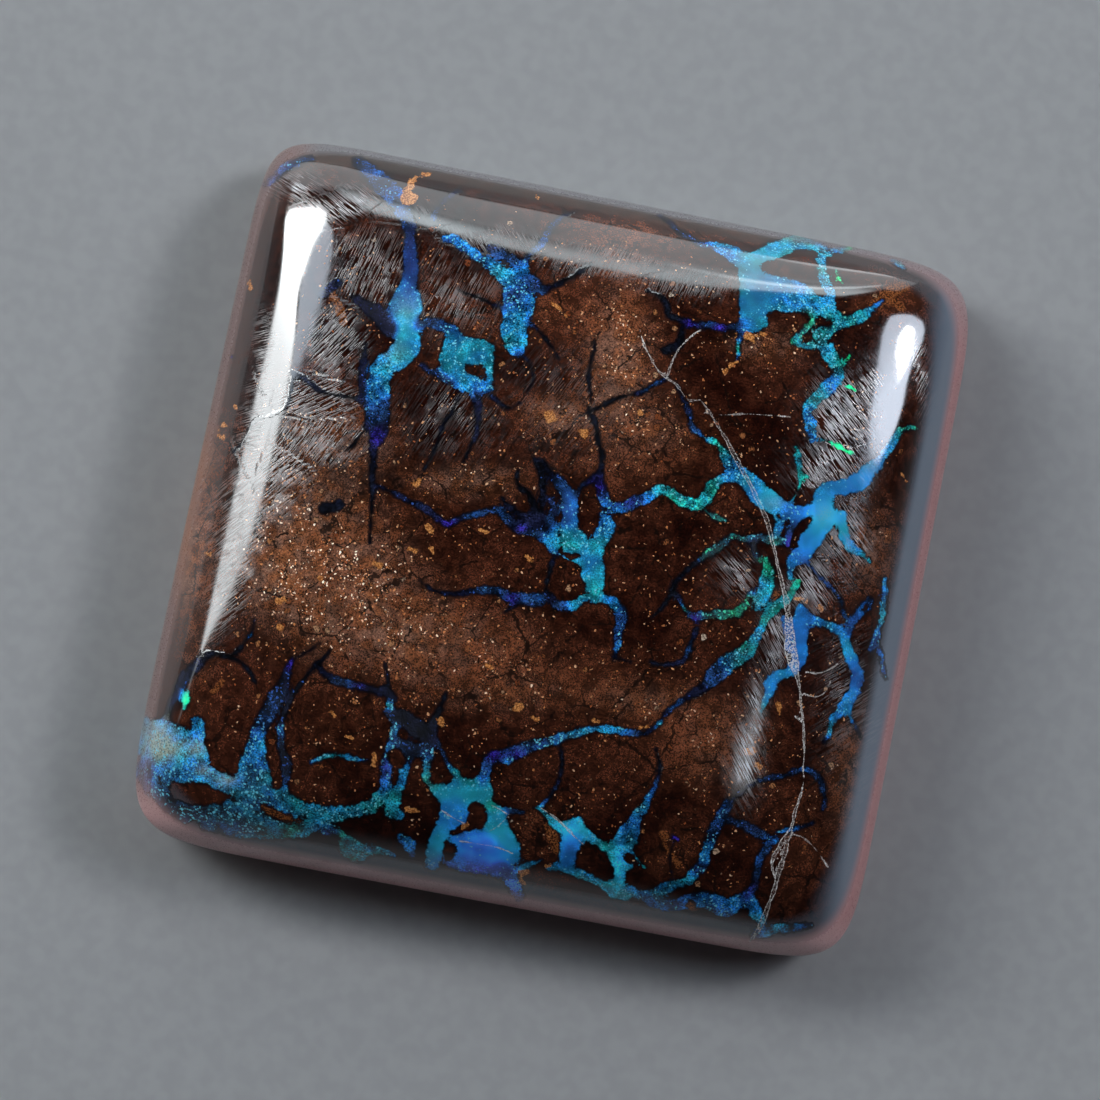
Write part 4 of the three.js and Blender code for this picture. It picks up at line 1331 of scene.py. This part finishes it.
def strewn_grains(n, place, cell, amount, size):
    """Rounded grains: a mask of them, a ring around them, and two tones for each. The amount is the
    share of cells that hold one, and the size is in cells."""
    cells = n.cells(place, cell)
    chance = n.channels(cells.outputs["Color"])
    present = n.maths("LESS_THAN", chance[0], amount)
    radius = n.times(n.ramp(chance[1], 0, 1, 0.4, 1.0, smooth=False), size)
    gap = n.maths("SUBTRACT", cells.outputs["Distance"], radius)
    mask = n.times(n.ramp(gap, 0.05, -0.05), present)
    ring = n.times(n.ramp(gap, 0.16, 0.02), present)
    return mask, ring, chance[2], chance[1]


def line_depth(n, name):
    """Depth inside a drawn line. The way to its middle keeps it sharp, and the gap guards it."""
    way = n.parts(n.attribute(name + "_line", "Vector"))
    distance = n.maths("SQRT", n.maths("ADD", n.times(way[0], way[0]), n.times(way[1], way[1])))
    sharp = n.maths("SUBTRACT", way[2], distance)
    guard = n.maths("SUBTRACT", LINE_GUARD, n.attribute(name + "_gap"))
    return n.maths("MINIMUM", sharp, guard)


def share_along(n, place, axis, none, full):
    """A share that goes from 0 at one place along an axis of the stone to 1 at another, both in
    millimetres."""
    return n.ramp(n.parts(place)[axis], none * METRES, full * METRES)


def pinkness(n, place):
    """How pink the ground band is: not at all along the far side, and fully from a little nearer."""
    spot = n.parts(place)
    nearness = n.maths("SUBTRACT", n.times(spot[0], PINK_LEAN), spot[1])
    return n.ramp(nearness, PINK_FROM[0] * METRES, PINK_FROM[1] * METRES)


def ironstone_colour(n, noises, stirred):
    """Dark brown ironstone before its grains: sandier and rustier in patches, and gritty all over."""
    cloud = noises["cloud"]
    sandy = n.times(n.attribute("sandy"), n.ramp(cloud, 0.30, 0.62, 0.55, 1.15), clamp=True)
    sand = n.mix(n.ramp(noises["tint"], 0.38, 0.62), *SAND)
    brown = n.mix(n.times(sandy, 0.80), n.mix(n.ramp(cloud, 0.34, 0.66), *IRONSTONE), sand)
    rusty = n.times(n.attribute("rusty"), n.ramp(noises["shade"], 0.35, 0.60, 0.35, 0.95))
    brown = n.mix(rusty, brown, RUSTY_BROWN)
    brown = n.shaded(brown, n.ramp(noises["grit"], 0.30, 0.72, 0.40, 1.70))
    brown = n.shaded(brown, n.ramp(noises["ragged"], -0.045, 0.045, 0.65, 1.4))
    for name, broken, edge in (("cloud", "shade", 0.0040), ("tint", "cloud", 0.0110)):
        away = n.maths("ABSOLUTE", n.maths("SUBTRACT", noises[name], 0.5))
        hair = n.times(n.ramp(away, edge, edge * 0.3), n.ramp(noises[broken], 0.44, 0.52))
        brown = n.mix(n.times(hair, 0.75), brown, CRACK_BLACK)
    edges = n.cells(stirred, CRACK_CELL, "DISTANCE_TO_EDGE").outputs["Distance"]
    cracks = n.times(n.ramp(edges, 0.020, 0.008), n.ramp(noises["tint"], 0.45, 0.51))
    brown = n.mix(n.times(cracks, 0.85), brown, CRACK_BLACK)
    rust = n.ramp(n.maths("ADD", line_depth(n, "rust"), noises["ragged"]), -0.06, 0.05)
    rust_tone = n.mix(n.ramp(noises["grit"], 0.38, 0.64), *RUST)
    return n.mix(n.times(rust, 0.85), brown, rust_tone), sandy


def speck_amount(n, noises, sandy, hue, inside, calm):
    """The share of specks: few in ironstone, more where it is sandy, and most in glittering opal."""
    glitter = n.times(n.attribute("vein_play"), n.ramp(n.attribute("glassy"), 0, 1, 0.85, 0.05))
    glitter = n.times(glitter, n.ramp(hue, 0.3, 2.2, 0.05, 1.0))
    clumps = n.times(n.ramp(noises["shade"], 0.36, 0.62, 0.2, 1.5), calm)
    thinly = n.times(n.maths("MULTIPLY_ADD", sandy, 0.85, 0.14), clumps)
    return n.blend(inside, thinly, glitter)


def speckled(n, brown, sandy, mask, tone, shade):
    """Ironstone with its fine specks, which are paler where it is sandy."""
    tone = n.times(tone, n.ramp(sandy, 0.0, 0.6, 0.72, 1.2))
    strength = n.times(n.ramp(shade, 0.1, 1.0, 0.20, 1.65), n.ramp(sandy, 0.0, 0.8, 1.0, 1.35))
    return n.mix(mask, brown, n.shaded(n.colour_scale(tone, GRAIN_COLOURS), strength))


def grainy(n, brown, grit, stirred, sandy, calm):
    """Ironstone with its coarse grains, each with a dark ring around it."""
    amount = n.times(n.maths("MULTIPLY_ADD", sandy, 0.32, 0.09), calm)
    mask, ring, tone, _ = strewn_grains(n, stirred, GRAIN_CELL, amount, GRAIN_SIZE)
    brown = n.mix(n.times(ring, 0.6), brown, GRAIN_RING)
    tone = n.times(n.times(tone, tone), 0.9)
    mask = n.times(mask, n.ramp(grit, 0.36, 0.58, 0.12, 1.0))
    return n.mix(mask, brown, n.colour_scale(tone, GRAIN_COLOURS))


def rim_bands(n, place, sandy):
    """The two bands round the rim, painted reflection above and a matt ground band below, painted
    lighter as reflection and, on the near side, as light over its shade: the share and the tone of each."""
    left = share_along(n, place, 0, *LEFT_SIDE)
    right = share_along(n, place, 0, *RIGHT_SIDE)
    near = share_along(n, place, 1, *NEAR_SIDE)
    pink = pinkness(n, place)
    bare = n.ramp(n.attribute("rusty"), 0.0, 0.8, 1.0, 0.15)
    # haze is the share of the painted reflection band, fainter where the stone is rusty.
    haze = n.times(n.times(share_along(n, place, 2, *PAINTED_REFLECTION_BAND), 0.55), bare)
    right_painted_reflection = n.times(share_along(n, place, 2, *RIGHT_PAINTED_REFLECTION_BAND), n.times(right, 0.9))
    haze = n.maths("MAXIMUM", haze, right_painted_reflection)
    painted_reflection_tone = n.mix(right, n.mix(pink, PAINTED_REFLECTION_FAR, PAINTED_REFLECTION_BLUE), PAINTED_REFLECTION_RIGHT)
    painted_reflection_tone = n.mix(left, painted_reflection_tone, n.mix(sandy, *PAINTED_REFLECTION_LEFT))
    # The ground band's tone: its own matt colour, painted lighter as reflection and as light on the near
    # side.
    matt = share_along(n, place, 2, *GROUND_BAND)
    ground_and_reflection_tone = n.mix(left, n.mix(pink, GROUND_FAR, GROUND_PINK), n.mix(sandy, *GROUND_LEFT))
    ground_and_reflection_tone = n.mix(near, ground_and_reflection_tone, GROUND_NEAR_PAINTED_LIGHT)
    return haze, painted_reflection_tone, matt, ground_and_reflection_tone


def vein_hue_colour(n, noises, hue):
    """The vein's own hue, drifting a little from place to place, brighter and darker in clouds."""
    glassy = n.attribute("glassy")
    drift = n.ramp(noises["tint"], 0.30, 0.70, -1.1, 1.1, smooth=False)
    drift = n.times(drift, n.ramp(glassy, 0.0, 1.0, 1.0, 0.35))
    shifted = n.maths("MULTIPLY_ADD", drift, n.ramp(hue, 0.2, 3.0, 0.2, 1.0), hue)
    own = n.colour_scale(n.maths("DIVIDE", shifted, len(HUES) - 1.0, clamp=True), HUES)
    own = n.mix(n.attribute("violet"), own, VIOLET)
    strength = n.ramp(noises["shade"], 0.32, 0.68, 0.70, 1.60)
    strength = n.times(strength, n.ramp(noises["ragged"], -0.045, 0.045, 0.38, 1.52))
    strength = n.times(strength, n.ramp(noises["grit"], 0.3, 0.7, 0.25, 1.70))
    smooth = n.grey(n.ramp(noises["shade"], 0.35, 0.65, 1.75, 2.5))
    own = n.mix(1.0, own, n.mix(glassy, n.grey(strength), smooth), "MULTIPLY")
    own = n.shaded(own, n.maths("ADD", n.attribute("glow"), 1.0))
    return n.mix(n.times(n.attribute("flecked"), 0.85), own, DULL_GROUND)


def opal_colour(n, noises, hue, depth, mask, tone, shade):
    """Opal in the veins: milky in patches, glittering with specks, and darker towards its edges."""
    opal = vein_hue_colour(n, noises, hue)
    milk = n.times(n.attribute("milky"), n.ramp(noises["grit"], 0.3, 0.6, 0.25, 0.85))
    opal = n.mix(milk, opal, MILKY)
    spark = n.mix(n.ramp(n.maths("ADD", hue, tone), 6.6, 8.6), SPARK_CYAN, SPARK_GREEN)
    spark = n.mix(n.ramp(hue, 3.4, 2.0), spark, SPARK_BLUE)
    opal = n.mix(n.times(mask, n.ramp(shade, 0.1, 0.9, 0.10, 1.0)), opal, spark)
    return n.shaded(opal, n.ramp(depth, 0.0, 0.085, 0.18, 1.0))


def pale_share(n, ragged, grit):
    """The pale crack: a strand along each of its edges, and broken pale filling between them."""
    half_width = n.parts(n.attribute("pale_line", "Vector"))[2]
    depth = n.maths("MULTIPLY_ADD", ragged, 0.5, line_depth(n, "pale"))
    strand = n.ramp(n.maths("ABSOLUTE", n.maths("SUBTRACT", depth, 0.014)), 0.024, 0.008)
    filling = n.times(n.ramp(depth, 0.0, 0.04), n.ramp(grit, 0.42, 0.58, 0.05, 0.85))
    filling = n.times(filling, n.ramp(half_width, 0.08, 0.14, 0.25, 1.0))
    broken = n.times(n.ramp(grit, 0.32, 0.50, 0.35, 1.0), n.ramp(n.attribute("faded"), 0, 1, 1, 0))
    return n.times(n.maths("MAXIMUM", strand, filling), broken)


def inclusions(n, colour, ragged, grit):
    """The ochre spots and the pale crack, which lie over ironstone and veins alike."""
    ochre = n.ramp(n.maths("MULTIPLY_ADD", ragged, 1.5, line_depth(n, "ochre")), -0.01, 0.03)
    colour = n.mix(n.times(ochre, 0.95), colour, n.mix(n.ramp(grit, 0.40, 0.64), *OCHRE))
    return n.mix(pale_share(n, ragged, grit), colour, n.mix(n.ramp(grit, 0.4, 0.6), *PALE_CRACK))


def scratch_lines(n, place):
    """Fine scratches, long along their own way and close together across it."""
    way = n.attribute("scratch_way", "Vector")
    along = n.vector_maths("DOT_PRODUCT", place, way, output="Value")
    across = n.parts(n.vector_maths("CROSS_PRODUCT", place, way))[2]
    lay = n.add("ShaderNodeCombineXYZ")
    n.feed_all(lay.inputs, (n.times(along, SCRATCH_STRETCH), across))
    return n.ramp(n.noise(lay.outputs[0], SCRATCH_SCALE, 1.0, 0.6, flat=True), 0.49, 0.56)


def scratch_share(n, noises, place, depth):
    """How much of each spot the scratches cover: less on the veins, and uneven from place to place."""
    worn = n.times(n.attribute("scratched"), n.ramp(depth, -0.02, 0.05, 1.0, 0.22))
    worn = n.times(worn, n.ramp(noises["shade"], 0.36, 0.56, 0.35, 1.0))
    return n.times(scratch_lines(n, place), worn)


def polished(n, colour, grit, matt, scratched, crack):
    """The finished surface: glossy, duller on its scratches and on its ground band, and with
    scratches and cracks that just catch the light."""
    shader = n.add("ShaderNodeBsdfPrincipled")
    n.feed(shader.inputs["Base Color"], colour)
    rough = n.maths("MULTIPLY_ADD", scratched, 0.26, n.ramp(grit, 0.3, 0.7, 0.05, 0.09))
    n.feed(shader.inputs["Roughness"], n.maths("MULTIPLY_ADD", matt, 0.22, rough))
    shader.inputs["IOR"].default_value = STONE_IOR
    bump = n.add("ShaderNodeBump")
    bump.inputs["Strength"].default_value = 1.0
    bump.inputs["Distance"].default_value = BUMP_DEPTH * METRES
    n.feed(bump.inputs["Height"], n.maths("MULTIPLY_ADD", crack, -1.5, scratched))
    n.feed(shader.inputs["Normal"], bump.outputs[0])
    out = n.add("ShaderNodeOutputMaterial")
    n.feed(out.inputs[0], shader.outputs[0])


def stone_material():
    """Polished boulder opal: ironstone, the veins in it, and what lies over and between them."""
    material = bpy.data.materials.new("boulder_opal")
    material.use_nodes = True
    material.node_tree.nodes.clear()
    n = Nodes(material.node_tree)
    place = n.add("ShaderNodeTexCoord").outputs["Object"]
    noises, stirred = stone_noises(n, place)
    grit = noises["grit"]
    ragged = noises["ragged"]
    painted_glint = n.attribute("painted_glint")
    hue = n.attribute("vein_hue")

    sharp = n.maths("MAXIMUM", n.attribute("vein_depth"), line_depth(n, "vein"))
    outside_islands = n.times(n.attribute("island_depth"), -1.0)
    depth = n.maths("ADD", n.maths("MINIMUM", sharp, outside_islands), ragged)
    inside = n.ramp(depth, -0.008, 0.026)

    brown, sandy = ironstone_colour(n, noises, stirred)
    calm = n.times(share_along(n, place, 2, *SPECKS_FROM), n.ramp(painted_glint, 0, 0.8, 1, 0.15))
    calm = n.times(calm, n.ramp(n.attribute("scratched"), 0.2, 0.9, 1, 0.45))
    amount = speck_amount(n, noises, sandy, hue, inside, calm)
    size = n.maths("MULTIPLY_ADD", n.attribute("flecked"), 0.25, n.ramp(inside, 0, 1, 0.43, 0.46))
    mask, _, tone, shade = strewn_grains(n, stirred, SPECK_CELL, amount, size)
    brown = speckled(n, brown, sandy, mask, tone, shade)
    brown = grainy(n, brown, grit, stirred, sandy, calm)

    # Painted reflection on the upper rim band, and the ground band below painted lighter as reflection and
    # as light on its shaded near side.
    haze, painted_reflection_tone, matt, ground_and_reflection_tone = rim_bands(n, place, sandy)
    brown = n.mix(haze, brown, painted_reflection_tone)
    brown = n.mix(n.times(matt, 0.85), brown, ground_and_reflection_tone)
    outline = n.times(n.ramp(depth, -0.075, -0.015), n.ramp(matt, 0, 1, 0.75, 0.10))
    brown = n.mix(outline, brown, VEIN_OUTLINE)

    opal = opal_colour(n, noises, hue, depth, mask, tone, shade)
    opal = n.mix(n.times(matt, 0.5), opal, ground_and_reflection_tone)
    colour = inclusions(n, n.mix(inside, brown, opal), ragged, grit)

    scratched = scratch_share(n, noises, place, depth)
    # Scratches painted pale, and near white in the glint patches as a painted highlight.
    painted = n.times(scratched, n.ramp(painted_glint, 0, 1, 0.33, 1.7), clamp=True)
    colour = n.mix(painted, colour, n.mix(painted_glint, *SCRATCH_AND_GLINT_TONES))
    crack = n.times(n.ramp(depth, -0.05, 0.02), n.ramp(hue, 1.4, 0.3))
    polished(n, colour, grit, matt, scratched, crack)
    return material


def floor_material():
    """Pale and plain, and turning into the colour of the horizon far from the stone."""
    material = bpy.data.materials.new("pale_floor")
    material.use_nodes = True
    n = Nodes(material.node_tree)
    shader = material.node_tree.nodes["Principled BSDF"]
    place = n.add("ShaderNodeTexCoord").outputs["Object"]
    pale = n.mix(n.ramp(n.noise(place, FLOOR_GRAIN_SCALE, 1.0, 0.6), 0.3, 0.7), *FLOOR_TONES)
    far = n.ramp(n.vector_maths("LENGTH", place, output="Value"), *FLOOR_FADE)
    n.feed(shader.inputs["Base Color"], n.mix(far, pale, BLACK))
    n.feed(shader.inputs["Emission Color"], n.mix(far, BLACK, HORIZON))
    shader.inputs["Emission Strength"].default_value = 1.0
    shader.inputs["Roughness"].default_value = 0.9
    shader.inputs["Specular IOR Level"].default_value = 0.1
    return material


def make_floor():
    """A plain pale floor, well wider than any view."""
    disc = bmesh.new()
    bmesh.ops.create_circle(disc, cap_ends=True, segments=96, radius=FLOOR_RADIUS)
    mesh = bpy.data.meshes.new("floor")
    disc.to_mesh(mesh)
    disc.free()
    floor = bpy.data.objects.new("floor", mesh)
    bpy.context.scene.collection.objects.link(floor)
    mesh.materials.append(floor_material())
    return floor


def make_camera():
    """The photograph's camera."""
    right, up, back, place = camera_axes()
    data = bpy.data.cameras.new("camera")
    data.lens = LENS
    data.sensor_width = SENSOR
    data.sensor_fit = "HORIZONTAL"
    data.clip_start, data.clip_end = CAMERA_CLIP
    camera = bpy.data.objects.new("camera", data)
    turn = np.eye(4)
    turn[:3, :3] = np.column_stack([right, up, back])
    turn[:3, 3] = place * METRES
    camera.matrix_world = Matrix(turn.tolist())
    bpy.context.scene.collection.objects.link(camera)
    bpy.context.scene.camera = camera


def make_light(name, away, wall, colour, brightness, lower_edge, upper_edge, shape):
    """A soft light on a wall, cut out to its shape."""
    rows = np.array(shape, dtype=float)
    start, end = rows[0, 0], rows[-1, 0]
    bottom, top = rows[:, 1].min(), rows[:, 2].max()
    out, side, up = (Vector(way) for way in WALLS[wall])
    across = up.cross(out)
    data = bpy.data.lights.new(name, "AREA")
    data.shape = "RECTANGLE"
    data.size = (end - start) * METRES
    data.size_y = (top - bottom) * METRES
    data.energy = brightness * math.pi * data.size * data.size_y
    data.color = colour
    data.use_nodes = True
    rows[:, 0] = (rows[:, 0] - start) / (end - start)
    rows[:, 1:3] = (rows[:, 1:3] - bottom) / (top - bottom)
    if across.dot(side) < 0:
        rows = rows[::-1]
        rows[:, 0] = 1 - rows[:, 0]
    cut_out(Nodes(data.node_tree), rows, lower_edge / (top - bottom), upper_edge / (top - bottom))
    light = bpy.data.objects.new(name, data)
    turn = Matrix((across, up, out)).transposed().to_4x4()
    place = (out * away + side * (start + end) / 2 + up * (bottom + top) / 2) * METRES
    light.matrix_world = Matrix.Translation(place) @ turn
    light.visible_camera = False
    bpy.context.scene.collection.objects.link(light)


def cut_out(n, rows, lower_edge, upper_edge):
    """Gives a light's face its shape, with soft edges. All in shares of the face's size."""
    face = n.parts(n.add("ShaderNodeNewGeometry").outputs["Parametric"])
    bounds = n.channels(n.colour_scale(face[0], [tuple(row[1:]) for row in rows], rows[:, 0]))
    from_low = n.maths("SUBTRACT", face[1], bounds[0])
    from_high = n.maths("SUBTRACT", bounds[1], face[1])
    inside = n.times(n.ramp(from_low, 0.0, lower_edge), n.ramp(from_high, 0.0, upper_edge))
    n.feed(n.tree.nodes["Emission"].inputs["Strength"], n.times(inside, bounds[2]))


def make_world():
    """A dark ceiling that lightens towards the horizon."""
    world = bpy.data.worlds.new("studio")
    world.use_nodes = True
    n = Nodes(world.node_tree)
    height = n.parts(n.add("ShaderNodeTexCoord").outputs["Generated"])[2]
    background = world.node_tree.nodes["Background"]
    n.feed(background.inputs[0], n.mix(n.ramp(height, 0.0, CEILING_FROM), HORIZON, CEILING))
    bpy.context.scene.world = world


make_camera()
stone = make_stone()
stone.data.materials.append(stone_material())
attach(stone, "root")
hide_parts("opal_cabochon")
make_floor()
make_world()
for order, (light_name, values) in enumerate(LIGHTS.items()):
    make_light(light_name, ROOM + LIGHT_STEP * order, *values)
bpy.context.scene.view_settings.view_transform = "Standard"
